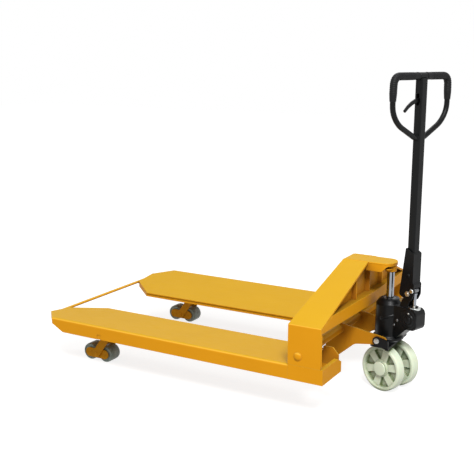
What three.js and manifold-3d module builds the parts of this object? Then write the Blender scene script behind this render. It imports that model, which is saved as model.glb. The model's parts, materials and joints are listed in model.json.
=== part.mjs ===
// Hand pallet truck for wide loads: two broad inclined forks, a raised portal over the pump,
// a steered two-wheel pump unit with a loop handle, and tandem load rollers on swinging arms.
// Lengths in millimetres. Z is up, X runs from the fork tips toward the handle, and the left
// side is at minus Y. The truck stands on its wheels with the forks lifted and the wheels steered.
import * as THREE from 'three';
import { mergeVertices } from 'three/addons/utils/BufferGeometryUtils.js';
import Module from 'manifold-3d';

const wasm = await Module();
wasm.setup();

// Clearances and cuts
const fitGap = 0.3;
const runGap = 0.5;
const gripGap = 0.8;
const overrun = 3;

// Smoothness of round stretches, in faces
const pinSides = 10;
const tubeSides = 16;
const wheelSides = 24;
const arcSteps = 4;
const cornerSteps = 2;

// Driving sizes of the whole truck
const truck = { width: 936, forkLength: 1180, raisedHeight: 200, liftTravel: 100 };
const steer = { x: 207, angleDeg: -18.7 };
const halfWidth = truck.width / 2;

// Forks
const fork = { width: 320, fall: 36, plate: 5, wallBottom: 143, lipInset: 7 };
const tip = { outerBack: 85, outerIn: 90, flat: 115, innerBack: 130, noseHeight: 27, wrap: 55 };
const notch = { x: -850, width: 20, height: 20 };
const heel = { length: 137, width: 168, rim: 20, plate: 5, lip: 15, cornerIn: 32, cornerDrop: 18 };
const tieRod = { radius: 6, z: 172, reachIn: 133 };

// Portal: risers, inclined strips, web, beam, ribs and head
const riser = { length: 128, plate: 8, top: 349 };
const head = { top: 504, plate: 8, halfWidth: 50, frontX: 30, rearX: 132, cheek: 8 };
const nose = { length: 40, backOff: 17 };
const cheek = { depth: 30, taper: 6, rise: 12, skirt: 16 };
const seat = { radius: 22, bottom: 466 };
const web = { plate: 6, beforeRear: 28 };
const beam = { bottom: 328, height: 46, depth: 40, rearX: 128, bow: 14, wall: 4 };
const rib = { plate: 6, places: [-138, 0, 138], setBack: 5 };

// Torsion shaft with its cranks, and the yoke arms that reach the carriage
const shaft = { x: 40, z: 235, radius: 19, collar: 26 };
const shaftPin = { radius: 11, reach: 46, headRadius: 15, head: 7 };
const crank = { length: 70, plate: 6, halfGap: 8, endRadius: 11, pinRadius: 5 };
const yoke = { y: 92, plate: 8, collar: 26, eye: 18 };
const lobe = { back: 66, backDrop: 107, front: 8, drop: 116 };
const knee = { out: 68, drop: 50 };
const ear = { x: 200, z: 215, y: 104, plate: 8, radius: 16, rearTop: 221 };
const earBolt = { radius: 8.5, headRadius: 11, head: 7, overlap: 3 };
const slotPlay = 3.2;

// Load rollers, their bogies, swinging arms and hangers
const roller = { radius: 35, width: 60, spacing: 78, chamfer: 3, inward: 143 };
const bogie = { plate: 5, sideGap: 1, endRadius: 20, axle: 8, axleEnd: 3, stub: 7 };
const arm = { plate: 6, sideGap: 1, length: 112, pivotX: -885, pivotZ: 127, radius: 17 };
const lever = { plate: 6, halfGap: 8, radius: 6.5, pinRadius: 4.5 };
const hanger = { plate: 6, sideGap: 4, front: 40, rear: 49, radius: 14 };
const bridge = { bottom: 136, top: 149, length: 14, fromRear: 2 };
const armPin = { radius: 7, headRadius: 10, head: 4 };

// Push rods between cranks and arms
const rod = { z: 165.5, height: 16, width: 15.4, frontEye: 21, rearEye: 26, eyeLength: 30, play: 4.2 };

// Carriage under the pump
const carriage = { bottom: 183, plate: 9, front: 42, rear: 46, wing: 17, halfWidth: 89 };
const thrust = { height: 7.4, inner: 24, outer: 44 };

// Pump unit, in its own axes: x forward to the operator from the steering axis
const pump = { radius: 52, top: 361, shoulder: 13, flange: 60, flangeHeight: 12, flare: 6 };
const column = { radius: 20, halfBoss: 23 };
const ram = { radius: 14, length: 220, boreSpare: 4 };
const gland = { radius: 24, height: 5, recess: 5 };
const block = { rear: 40, front: 148, halfWidth: 29, bottom: 262, top: 345, round: 22 };
const gusset = { front: 104, low: 60, bottom: 219 };
const barrel = { x: 116, z: 303, radius: 23, length: 9 };
const lug = { plate: 5.5, radius: 13, baseRadius: 20, baseX: 74, baseZ: 330 };
const plunger = { radius: 7, headRadius: 9, headHeight: 8, depth: 66, travel: 25.5 };
const plungerBoss = { radius: 15, top: 353 };

// Steered wheels and their axle
const wheel = { radius: 90, width: 40, centre: 44, trail: 16, chamfer: 5, rim: 74, hub: 27 };
const pocket = { inner: 31, outer: 70, depth: 16, count: 6, spanDeg: 36 };
const wheelHollow = { depth: 10 };
const bearing = { outer: 21, width: 26 };
const axle = { radius: 10, length: 130, capRadius: 16, cap: 4 };

// Small lever on top of the pump that opens the lowering valve
const valveLever = { x: 62, z: 367, radius: 7.5, pin: 3.5, plate: 4, reach: 32, drop: 8, end: 3, nose: 2.7 };
const post = { halfLength: 5, halfWidth: 4 };

// Handle, upright at rest, turning about its pivot pin
const pivot = { x: 101, z: 401, radius: 6, headRadius: 11, head: 5 };
const stem = { x: 100, depth: 31, width: 36, wall: 3, bottom: 426 };
const socket = { plate: 5, top: 565, rearTop: 83, rearBottom: 58, wallBottom: 445, floor: 375 };
const chin = { out: 5, top: 440, round: 8 };
const cam = { forward: 16, up: 12, radius: 9, width: 22, axle: 5 };
const clampBolt = { z: 470, radius: 5 };
// Drops are measured down from the top of the loop.
const loop = { top: 1206, radius: 10, halfTop: 112, halfSide: 172, steps: 40 };
const loopDrop = { sideTop: 56, sideLow: 96, bend: 170, join: 224, lever: 84 };
const bend = { half: 146, root: 10, corner: 46, mostShare: 0.48 };
const loopSides = 8;
const grip = { radius: 15, startShare: 0.275, endShare: 0.475, steps: 12 };
const trigger = { reach: 88, drop: 56, root: 9, end: 5, plate: 8, inner: 9, pin: 3.5 };
const slotHeight = 46;
const pullRod = { radius: 3, back: 8.5, bottom: 440 };
const triggerZ = loop.top - loopDrop.lever;

const radians = (degrees) => (degrees * Math.PI) / 180;
const quarter = Math.PI / 2;
const turn = 2 * Math.PI;

// Geometry helpers

// Joins vertices at one place, drops collapsed faces and turns the faces outward.
function closed(geometry) {
  const bare = new THREE.BufferGeometry();
  bare.setAttribute('position', geometry.attributes.position.clone());
  if (geometry.index) bare.setIndex(geometry.index.clone());
  const merged = mergeVertices(bare);
  const source = merged.index.array;
  const kept = [];
  for (let i = 0; i < source.length; i += 3) {
    const corners = [source[i], source[i + 1], source[i + 2]];
    if (new Set(corners).size === corners.length) kept.push(...corners);
  }
  const place = merged.attributes.position;
  const corner = [new THREE.Vector3(), new THREE.Vector3(), new THREE.Vector3()];
  let volume = 0;
  for (let i = 0; i < kept.length; i += 3) {
    corner.forEach((point, k) => point.fromBufferAttribute(place, kept[i + k]));
    volume += corner[0].dot(corner[1].clone().cross(corner[2]));
  }
  if (volume < 0) kept.reverse();
  merged.setIndex(kept);
  return merged;
}

function toSolid(geometry) {
  const tidy = closed(geometry);
  return new wasm.Manifold(new wasm.Mesh({
    numProp: 3,
    vertProperties: new Float32Array(tidy.attributes.position.array),
    triVerts: new Uint32Array(tidy.index.array),
  }));
}

function toGeometry(solid) {
  const mesh = solid.getMesh();
  const geometry = new THREE.BufferGeometry();
  geometry.setAttribute('position', new THREE.BufferAttribute(new Float32Array(mesh.vertProperties), 3));
  geometry.setIndex(new THREE.BufferAttribute(new Uint32Array(mesh.triVerts), 1));
  return geometry;
}

function join(...pieces) {
  return toGeometry(pieces.map(toSolid).reduce((sum, piece) => sum.add(piece)));
}

function cut(body, ...tools) {
  return toGeometry(tools.map(toSolid).reduce((left, tool) => left.subtract(tool), toSolid(body)));
}

function mirrored(geometry) {
  return closed(geometry.clone().scale(1, -1, 1));
}

function moved(geometry, x, y, z) {
  return geometry.clone().translate(x, y, z);
}

function arc([u, v], radius, from, to, steps = arcSteps) {
  return Array.from({ length: steps + 1 }, (_, i) => {
    const angle = from + ((to - from) * i) / steps;
    return [u + radius * Math.cos(angle), v + radius * Math.sin(angle)];
  });
}

function onCircle([u, v], radius, angle) {
  return [u + radius * Math.cos(angle), v + radius * Math.sin(angle)];
}

function circle(centre, radius, sides = tubeSides) {
  return arc(centre, radius, 0, turn, sides).slice(0, -1);
}

// Outline of a strap drawn round two circles.
function strap(a, radiusA, b, radiusB) {
  const aim = heading(a, b);
  const lean = Math.acos((radiusA - radiusB) / Math.hypot(b[0] - a[0], b[1] - a[1]));
  return [
    ...arc(a, radiusA, aim + lean, aim + turn - lean),
    ...arc(b, radiusB, aim - lean, aim + lean),
  ];
}

function box(u0, u1, v0, v1) {
  return [[u0, v0], [u1, v0], [u1, v1], [u0, v1]];
}

function outline(points, holes = []) {
  const shape = new THREE.Shape(points.map(([u, v]) => new THREE.Vector2(u, v)));
  shape.holes = holes.map((hole) => new THREE.Path(hole.map(([u, v]) => new THREE.Vector2(u, v))));
  return shape;
}

// Extrudes an outline along X (outline in Y, Z), along Y (in X, Z) or along Z (in X, Y).
function plate(axis, points, from, to, holes = []) {
  const depth = to - from;
  const geometry = new THREE.ExtrudeGeometry(outline(points, holes), { depth, bevelEnabled: false });
  const stand = new THREE.Matrix4();
  if (axis === 'x') stand.makeBasis(unit(0, 1, 0), unit(0, 0, 1), unit(1, 0, 0)).setPosition(from, 0, 0);
  if (axis === 'y') stand.makeBasis(unit(1, 0, 0), unit(0, 0, 1), unit(0, -1, 0)).setPosition(0, to, 0);
  if (axis === 'z') stand.setPosition(0, 0, from);
  return closed(geometry.applyMatrix4(stand));
}

function unit(x, y, z) {
  return new THREE.Vector3(x, y, z);
}

function round(axis, centre, radius, from, to, sides = pinSides) {
  return plate(axis, circle(centre, radius, sides), from, to);
}

// A hole whose faces, not its corners, lie at the named radius.
function around(centre, radius, sides = pinSides) {
  return circle(centre, radius / Math.cos(Math.PI / sides), sides);
}

function bore(axis, centre, radius, from, to, sides = pinSides) {
  return plate(axis, around(centre, radius, sides), from, to);
}

function hexagon(centre, radius) {
  return circle(centre, radius, 6);
}

// Stands an XY outline up between two surfaces given by functions of x and y.
function between(points, lower, upper) {
  const geometry = new THREE.ExtrudeGeometry(outline(points), { depth: 1, bevelEnabled: false });
  const place = geometry.attributes.position;
  for (let i = 0; i < place.count; i += 1) {
    const level = place.getZ(i) > 0 ? upper : lower;
    place.setZ(i, level(place.getX(i), place.getY(i)));
  }
  return closed(geometry);
}

// Turns a closed outline of [radius, height] points about Y or Z. A flat face lies at the bottom,
// and the faces touch the circle of the named radius.
function turned(axis, points, sides) {
  const spread = 1 / Math.cos(Math.PI / sides);
  const profile = points.map(([radius, height]) => new THREE.Vector2(radius * spread, height));
  const geometry = new THREE.LatheGeometry(profile, sides, Math.PI / sides);
  if (axis === 'z') geometry.rotateX(quarter);
  return closed(geometry);
}

function ring(axis, inner, outer, from, to, sides = tubeSides) {
  return turned(axis, [[inner, from], [outer, from], [outer, to], [inner, to], [inner, from]], sides);
}

// Widens a line of points into a band of the given thickness on its left.
function band(points, thickness) {
  const inner = points.map((point, i) => {
    const before = points[Math.max(i - 1, 0)];
    const after = points[Math.min(i + 1, points.length - 1)];
    const into = i > 0 ? heading(before, point) : heading(point, after);
    const out = i < points.length - 1 ? heading(point, after) : into;
    const half = (out - into) / 2;
    const reach = thickness / Math.cos(half);
    const angle = into + half + quarter;
    return [point[0] + reach * Math.cos(angle), point[1] + reach * Math.sin(angle)];
  });
  return [...points, ...inner.reverse()];
}

function heading(a, b) {
  return Math.atan2(b[1] - a[1], b[0] - a[0]);
}

// Finishes
const finish = {
  paint: { color: '#e3a02a', roughness: 0.42, metalness: 0.05 },
  black: { color: '#232425', roughness: 0.5, metalness: 0.1 },
  chrome: { color: '#c8ccd2', roughness: 0.12, metalness: 1 },
  zinc: { color: '#b9bdc0', roughness: 0.35, metalness: 1 },
  steel: { color: '#8b8e90', roughness: 0.45, metalness: 1 },
  nylon: { color: '#dde5c8', roughness: 0.4, metalness: 0 },
  roller: { color: '#5f6b62', roughness: 0.45, metalness: 0 },
  rubber: { color: '#1c1c1d', roughness: 0.75, metalness: 0 },
};

const whole = new THREE.Group();
const turnedUnit = new THREE.Group();
turnedUnit.position.set(steer.x, 0, 0);
turnedUnit.rotation.z = radians(steer.angleDeg);
whole.add(turnedUnit);

function add(name, geometry, look, group = whole) {
  const mesh = new THREE.Mesh(geometry, new THREE.MeshStandardMaterial(finish[look]));
  mesh.name = name;
  group.add(mesh);
}

function addPair(name, geometry, look, group = whole) {
  add(`${name}_left`, geometry, look, group);
  add(`${name}_right`, mirrored(geometry), look, group);
}

// Forks, drawn for the left side. Inward distances are measured from the outer face.
const sideY = (inward) => -halfWidth + inward;
const inwardOf = (y) => y + halfWidth;
const deckTop = (y) => truck.raisedHeight - (fork.fall * inwardOf(y)) / fork.width;
const underDeck = (y) => deckTop(y) - fork.plate - fitGap;
const tipX = -truck.forkLength;
const outerCornerX = tipX + tip.outerBack;
const wrapX = outerCornerX + tip.wrap;
const innerCornerX = tipX + tip.innerBack;
const innerTipIn = tip.outerIn + tip.flat;
const lipIn = fork.width - fork.lipInset;
const lipX = innerCornerX - (fork.lipInset * tip.innerBack) / (fork.width - innerTipIn);

function forkDeck() {
  const plan = [
    [0, sideY(0)], [outerCornerX, sideY(0)], [tipX, sideY(tip.outerIn)], [tipX, sideY(innerTipIn)],
    [innerCornerX, sideY(fork.width)], [0, sideY(fork.width)],
  ];
  return between(plan, (x, y) => deckTop(y) - fork.plate, (x, y) => deckTop(y));
}

function forkOuterWall() {
  const plan = box(wrapX + fitGap, 0, sideY(0), sideY(fork.plate));
  const wall = between(plan, () => fork.wallBottom, (x, y) => underDeck(y));
  const half = notch.width / 2;
  const bite = box(notch.x - half, notch.x + half, fork.wallBottom - overrun, fork.wallBottom + notch.height);
  return cut(wall, plate('y', bite, sideY(-overrun), sideY(fork.plate + overrun)));
}

// One strip follows the chamfers round the nose, where its lower edge sweeps up, and runs back as
// the inner wall.
function forkInnerWall() {
  const path = [
    [wrapX, sideY(0)], [outerCornerX, sideY(0)], [tipX, sideY(tip.outerIn)], [tipX, sideY(innerTipIn)],
    [lipX, sideY(lipIn)], [0, sideY(lipIn)],
  ];
  const bottom = (x, y) => {
    const share = Math.min(1, Math.max(0, (wrapX - x) / tip.wrap));
    return fork.wallBottom + share * Math.max(0, deckTop(y) - tip.noseHeight - fork.wallBottom);
  };
  return between(band(path.reverse(), fork.plate), bottom, (x, y) => underDeck(y));
}

// Open channel behind the riser that the crank and push rod work in.
function forkHeel() {
  const end = heel.length;
  const top = deckTop(sideY(0));
  const endPlate = [
    [sideY(0), fork.wallBottom], [sideY(heel.width), fork.wallBottom],
    [sideY(heel.width), top - heel.cornerDrop], [sideY(heel.width - heel.cornerIn), top], [sideY(0), top],
  ];
  const lipPlan = box(end - heel.lip, end, sideY(0), sideY(heel.width - heel.cornerIn));
  return join(
    plate('x', endPlate, end - heel.plate, end),
    plate('z', lipPlan, top - heel.plate, top),
    plate('z', box(fitGap, end, sideY(0), sideY(heel.rim)), top - heel.plate, top),
    plate('y', box(fitGap, end, fork.wallBottom, top), sideY(0), sideY(heel.plate)),
    plate('y', box(fitGap, end, fork.wallBottom, top - heel.cornerDrop),
      sideY(heel.width - heel.plate), sideY(heel.width)),
  );
}

// A tie rod lies across the two noses and is welded to them.
function tipTieRod() {
  const reach = halfWidth - tieRod.reachIn;
  return round('y', [tipX - tieRod.radius - fitGap, tieRod.z], tieRod.radius, -reach, reach);
}

// Portal
const stripSlope = (head.top - riser.top) / (halfWidth - head.halfWidth);
const stripTop = (y) => head.top - stripSlope * (Math.abs(y) - head.halfWidth);
const stripUnder = (y) => stripTop(y) - riser.plate;

// Everything on the left above the underside of its strip, to trim what meets it.
function aboveStrip() {
  const plan = box(-overrun, 2 * riser.length, sideY(-overrun), -head.halfWidth);
  return between(plan, (x, y) => stripUnder(y) - fitGap, () => 2 * head.top);
}

function riserPlate() {
  const hole = around([shaft.x, shaft.z], shaftPin.radius + fitGap);
  const flat = plate('y', box(0, riser.length, deckTop(sideY(0)) + fitGap, riser.top),
    sideY(0), sideY(riser.plate), [hole]);
  return cut(flat, aboveStrip());
}

function portalStrip() {
  const inner = -head.halfWidth - fitGap;
  const plan = [[0, sideY(0)], [riser.length, sideY(0)], [head.rearX, inner], [head.frontX, inner]];
  return between(plan, (x, y) => stripUnder(y), (x, y) => stripTop(y));
}

function headCap() {
  const top = head.top;
  const inside = head.halfWidth - head.cheek;
  const noseX = steer.x - nose.backOff;
  const noseEdge = (inset) => arc([0, 0], 1, -quarter, quarter, 2 * arcSteps)
    .map(([u, v]) => [noseX + u * (nose.length - inset), v * (head.halfWidth - inset)]);
  const capPlan = [[head.frontX, -head.halfWidth], ...noseEdge(0), [head.frontX, head.halfWidth]];
  const cheekBottom = top - head.plate - cheek.depth;
  const side = [
    [head.rearX, top - head.plate / 2], [head.rearX, cheekBottom], [noseX, cheekBottom + cheek.taper],
    [steer.x, cheekBottom + cheek.rise], [steer.x, top - head.plate / 2],
  ];
  const skirtPlan = [...noseEdge(0), ...noseEdge(head.cheek).reverse()];
  return join(
    plate('z', capPlan, top - head.plate, top),
    plate('y', side, -head.halfWidth, -inside),
    plate('y', side, inside, head.halfWidth),
    plate('z', skirtPlan, top - head.plate - cheek.skirt, top - head.plate / 2),
    round('z', [steer.x, 0], seat.radius, seat.bottom, top - head.plate / 2, tubeSides),
  );
}

const portalInside = halfWidth - riser.plate - fitGap;
const beamTop = beam.bottom + beam.height;
const webX = beam.rearX - web.beforeRear;

// Web that stands on the beam, with the upright ribs that stiffen the strips.
function portalWeb() {
  const under = (y) => (Math.abs(y) > head.halfWidth ? stripUnder(y) : head.top - head.plate) - fitGap;
  const foot = beamTop + fitGap;
  const reach = head.halfWidth + (under(head.halfWidth + fitGap) - foot) / stripSlope;
  const brow = [-head.halfWidth, head.halfWidth].map((y) => [y, under(y + Math.sign(y) * fitGap)]);
  const face = [[-reach, foot], ...brow, [reach, foot]];
  const ribs = rib.places.map((y) => between(
    box(webX, riser.length - rib.setBack, y - rib.plate / 2, y + rib.plate / 2),
    () => foot,
    () => under(Math.abs(y) + rib.plate / 2),
  ));
  return join(plate('x', face, webX, webX + web.plate), ...ribs);
}

// Box beam from riser to riser, bowed a little toward the pump.
function portalBeam() {
  const plan = (inset) => {
    const rear = beam.rearX - inset;
    const front = beam.rearX - beam.depth + inset;
    const reach = portalInside + (inset > 0 ? overrun : 0);
    return [[front, -reach], [rear, -reach], [rear + beam.bow, 0], [rear, reach], [front, reach]];
  };
  const shell = plate('z', plan(0), beam.bottom, beamTop);
  const hollow = plate('z', plan(beam.wall), beam.bottom + beam.wall, beamTop - beam.wall);
  return cut(shell, hollow, aboveStrip(), mirrored(aboveStrip()));
}

// Linkage sizes that follow from the lift
const pinOut = ear.x - shaft.x;
const pinDrop = shaft.z - ear.z;
const pinRise = truck.liftTravel - pinDrop;
const yokeSwing = Math.atan2(pinRise, pinOut) + Math.atan2(pinDrop, pinOut);
const rodTravel = 2 * crank.length * Math.sin(yokeSwing / 2);
const armLow = Math.asin((arm.pivotZ - roller.radius) / arm.length);
const armHigh = Math.asin((arm.pivotZ - truck.liftTravel - roller.radius) / arm.length);
const armSwing = armLow - armHigh;
const leverLength = rodTravel / (2 * Math.sin(armSwing / 2));
const crankPin = [
  shaft.x - crank.length * Math.sin(yokeSwing / 2),
  shaft.z - crank.length * Math.cos(yokeSwing / 2),
];
const leverPin = [
  arm.pivotX - leverLength * Math.sin(armSwing / 2),
  arm.pivotZ + leverLength * Math.cos(armSwing / 2),
];
const bogieCentre = [arm.pivotX - arm.length * Math.cos(armLow), arm.pivotZ - arm.length * Math.sin(armLow)];
const rollerY = sideY(roller.inward);

// A pair of equal plates set either side of the roller line.
function twinPlates(points, halfGap, thickness, holes = []) {
  return [
    plate('y', points, rollerY - halfGap - thickness, rollerY - halfGap, holes),
    plate('y', points, rollerY + halfGap, rollerY + halfGap + thickness, holes),
  ];
}

function torsionShaft() {
  const centre = [shaft.x, shaft.z];
  const reach = portalInside - runGap;
  const cheekFace = strap(centre, shaft.collar, crankPin, crank.endRadius);
  const cheeks = twinPlates(cheekFace, crank.halfGap, crank.plate);
  const far = crank.halfGap + crank.plate;
  const pin = round('y', crankPin, crank.pinRadius, rollerY - far, rollerY + far);
  const all = [...cheeks, pin];
  const tube = round('y', centre, shaft.radius, -reach, reach, tubeSides);
  const body = join(tube, ...all, ...all.map(mirrored));
  const through = reach + overrun;
  return cut(body, bore('y', centre, shaftPin.radius + runGap, -through, through, tubeSides));
}

function torsionPin() {
  const centre = [shaft.x, shaft.z];
  return join(
    round('y', centre, shaftPin.radius, sideY(-shaftPin.head / 2), sideY(riser.plate + shaftPin.reach)),
    plate('y', hexagon(centre, shaftPin.headRadius), sideY(-shaftPin.head), sideY(-fitGap)),
  );
}

// Bell plate: collar on the torsion shaft, lobe below it and a slotted eye at the carriage.
function yokeArm() {
  const centre = [shaft.x, shaft.z];
  const aim = Math.atan2(-pinDrop, pinOut);
  const at = (distance) => [shaft.x + distance * Math.cos(aim), shaft.z + distance * Math.sin(aim)];
  const near = at(pinOut);
  const far = at(Math.hypot(pinOut, pinRise));
  const side = aim + quarter;
  const profile = [
    ...arc(centre, yoke.collar, side, Math.PI),
    [shaft.x - lobe.back, shaft.z - lobe.backDrop],
    [shaft.x - lobe.front, shaft.z - lobe.drop],
    [shaft.x + knee.out, shaft.z - knee.drop],
    onCircle(near, yoke.eye, side - Math.PI),
    ...arc(far, yoke.eye, side - Math.PI, side),
  ];
  const slot = strap(near, earBolt.radius + slotPlay, far, earBolt.radius + slotPlay);
  const hole = around(centre, shaft.radius + fitGap, tubeSides);
  return plate('y', profile, -yoke.y - yoke.plate, -yoke.y, [hole, slot]);
}

function pushRod() {
  const eyes = [
    { x: crankPin[0], height: rod.rearEye, pin: crank.pinRadius },
    { x: leverPin[0], height: rod.frontEye, pin: lever.pinRadius },
  ];
  const low = rollerY - rod.width / 2;
  const high = rollerY + rod.width / 2;
  const bar = (from, to, height) => {
    const half = height / 2;
    return plate('y', box(from, to, rod.z - half, rod.z + half), low, high);
  };
  const reach = rod.eyeLength / 2;
  const blocks = eyes.map((eye) => bar(eye.x - reach, eye.x + reach, eye.height));
  const holes = eyes.map((eye) => (
    bore('y', [eye.x, rod.z], eye.pin + rod.play, low - overrun, high + overrun)
  ));
  return cut(join(bar(leverPin[0], crankPin[0], rod.height), ...blocks), ...holes);
}

// Bogie: two side plates, the two roller axles and the stubs that it rocks on.
const bogieHalf = roller.width / 2 + bogie.sideGap;
const armHalf = bogieHalf + bogie.plate + arm.sideGap;
const rollerPlaces = [-roller.spacing / 2, roller.spacing / 2];

function bogieFrame() {
  const ends = rollerPlaces.map((place) => [bogieCentre[0] + place, bogieCentre[1]]);
  const far = bogieHalf + bogie.plate;
  return join(
    ...twinPlates(strap(ends[0], bogie.endRadius, ends[1], bogie.endRadius), bogieHalf, bogie.plate),
    ...ends.map((end) => round('y', end, bogie.axle, rollerY - far, rollerY + far)),
    ...twinPlates(circle(bogieCentre, bogie.stub, pinSides), far - bogie.plate / 2,
      bogie.plate / 2 + arm.sideGap + arm.plate + bogie.axleEnd),
  );
}

function loadRoller(place) {
  const half = roller.width / 2;
  const bore = bogie.axle + runGap;
  const edge = roller.radius - roller.chamfer;
  const profile = [
    [bore, -half], [edge, -half], [roller.radius, -half + roller.chamfer],
    [roller.radius, half - roller.chamfer], [edge, half], [bore, half], [bore, -half],
  ];
  return moved(turned('y', profile, wheelSides), bogieCentre[0] + place, rollerY, bogieCentre[1]);
}

// Swinging arm: twin plates, cross tube at the pivot and the lever lugs above it.
function rollerArm() {
  const centre = [arm.pivotX, arm.pivotZ];
  const far = lever.halfGap + lever.plate;
  const body = join(
    ...twinPlates(strap(centre, arm.radius, bogieCentre, arm.radius), armHalf, arm.plate),
    round('y', centre, arm.radius, rollerY - armHalf - fitGap, rollerY + armHalf + fitGap, tubeSides),
    ...twinPlates(strap(centre, arm.radius, leverPin, lever.radius), lever.halfGap, lever.plate),
    round('y', leverPin, lever.pinRadius, rollerY - far, rollerY + far),
  );
  const outer = armHalf + arm.plate + overrun;
  return cut(body,
    bore('y', centre, armPin.radius + runGap, rollerY - outer, rollerY + outer),
    bore('y', bogieCentre, bogie.stub + runGap, rollerY - outer, rollerY + outer));
}

const hangerHalf = armHalf + arm.plate + hanger.sideGap;

function armHanger() {
  const x = arm.pivotX;
  const sides = [-1, 1].map((side) => {
    const y = rollerY + side * hangerHalf;
    const ends = [y, y + side * hanger.plate];
    const low = Math.min(...ends);
    const high = Math.max(...ends);
    const top = underDeck(high);
    const face = [
      [x - hanger.front, top], [x - hanger.front, fork.wallBottom],
      ...arc([x, arm.pivotZ], hanger.radius, Math.PI, turn),
      [x + hanger.rear, fork.wallBottom - hanger.plate], [x + hanger.rear, top],
    ];
    return plate('y', face, low, high, [around([x, arm.pivotZ], armPin.radius + fitGap)]);
  });
  const rear = x + hanger.rear - bridge.fromRear;
  const reach = hangerHalf + hanger.plate / 2;
  const cross = plate('y', box(rear - bridge.length, rear, bridge.bottom, bridge.top),
    rollerY - reach, rollerY + reach);
  return join(...sides, cross);
}

function armPivotPin() {
  const centre = [arm.pivotX, arm.pivotZ];
  const far = hangerHalf + hanger.plate;
  return join(
    round('y', centre, armPin.radius, rollerY - far - armPin.head / 2, rollerY + far + armPin.head),
    round('y', centre, armPin.headRadius, rollerY - far - armPin.head, rollerY - far - fitGap),
  );
}

addPair('fork_deck', forkDeck(), 'paint');
addPair('fork_outer_wall', forkOuterWall(), 'paint');
addPair('fork_inner_wall', forkInnerWall(), 'paint');
addPair('fork_heel', forkHeel(), 'paint');
addPair('riser_plate', riserPlate(), 'paint');
addPair('portal_strip', portalStrip(), 'paint');
add('head_cap', headCap(), 'paint');
add('portal_web', portalWeb(), 'paint');
add('portal_beam', portalBeam(), 'paint');
add('tip_tie_rod', tipTieRod(), 'paint');
addPair('arm_hanger', armHanger(), 'paint');
addPair('torsion_pin', torsionPin(), 'paint');
add('torsion_shaft', torsionShaft(), 'paint');
addPair('yoke_arm', yokeArm(), 'paint');
addPair('push_rod', pushRod(), 'steel');
addPair('roller_arm', rollerArm(), 'paint');
addPair('arm_pivot_pin', armPivotPin(), 'zinc');
addPair('bogie_frame', bogieFrame(), 'paint');
addPair('front_roller', loadRoller(rollerPlaces[0]), 'roller');
addPair('rear_roller', loadRoller(rollerPlaces[1]), 'roller');

// Ram, held up under the head cap
const ramTop = seat.bottom - fitGap;
const ramBottom = ramTop - ram.length;
add('lift_ram', round('z', [steer.x, 0], ram.radius, ramBottom, ramTop, tubeSides), 'chrome');

// Carriage: saddle under the pump with an ear each side for the yoke bolts
const carriageTop = carriage.bottom + carriage.plate;
const pumpBottom = carriageTop + thrust.height + 2 * fitGap;
const earOuter = ear.y + ear.plate;

function carriageSaddle() {
  const front = steer.x - carriage.front;
  const rear = steer.x + carriage.rear;
  const wingFront = rear - carriage.wing;
  const half = carriage.halfWidth;
  const edge = [
    [front, half], [wingFront, half], [wingFront, earOuter], [rear, earOuter],
  ];
  const plan = [...edge, ...edge.map(([x, y]) => [x, -y]).reverse()];
  const hole = around([steer.x, 0], column.radius + runGap, wheelSides);
  const side = [
    [rear, carriage.bottom], [rear, ear.rearTop],
    ...arc([ear.x, ear.z], ear.radius, quarter, turn - quarter),
  ];
  const hold = [around([ear.x, ear.z], earBolt.radius + fitGap)];
  return join(
    plate('z', plan, carriage.bottom, carriageTop, [hole]),
    plate('y', side, -earOuter, -ear.y, hold),
    plate('y', side, ear.y, earOuter, hold),
  );
}

function yokeBolt() {
  const centre = [ear.x, ear.z];
  return join(
    round('y', centre, earBolt.radius, -earOuter - earBolt.head / 2, -yoke.y + earBolt.overlap),
    plate('y', hexagon(centre, earBolt.headRadius), -earOuter - earBolt.head, -earOuter - fitGap),
  );
}

add('carriage_saddle', carriageSaddle(), 'black');
addPair('yoke_bolt', yokeBolt(), 'zinc');
const thrustBottom = carriageTop + fitGap;
const thrustRing = ring('z', thrust.inner, thrust.outer, thrustBottom, thrustBottom + thrust.height);
add('thrust_ring', moved(thrustRing, steer.x, 0, 0), 'steel');

// Pump unit, drawn about the steering axis
const stemHalf = stem.width / 2;
const socketInside = stemHalf + fitGap;
const socketOutside = socketInside + socket.plate;
const lugOutside = socketInside - runGap;
const lugInside = lugOutside - lug.plate;
const camCentre = [pivot.x + cam.forward, pivot.z + cam.up];
const plungerTop = camCentre[1] - cam.radius - fitGap;
const plungerBottom = plungerTop - plunger.headHeight - plunger.depth;
const plungerX = camCentre[0];

const leverInner = -post.halfWidth - runGap;

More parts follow.
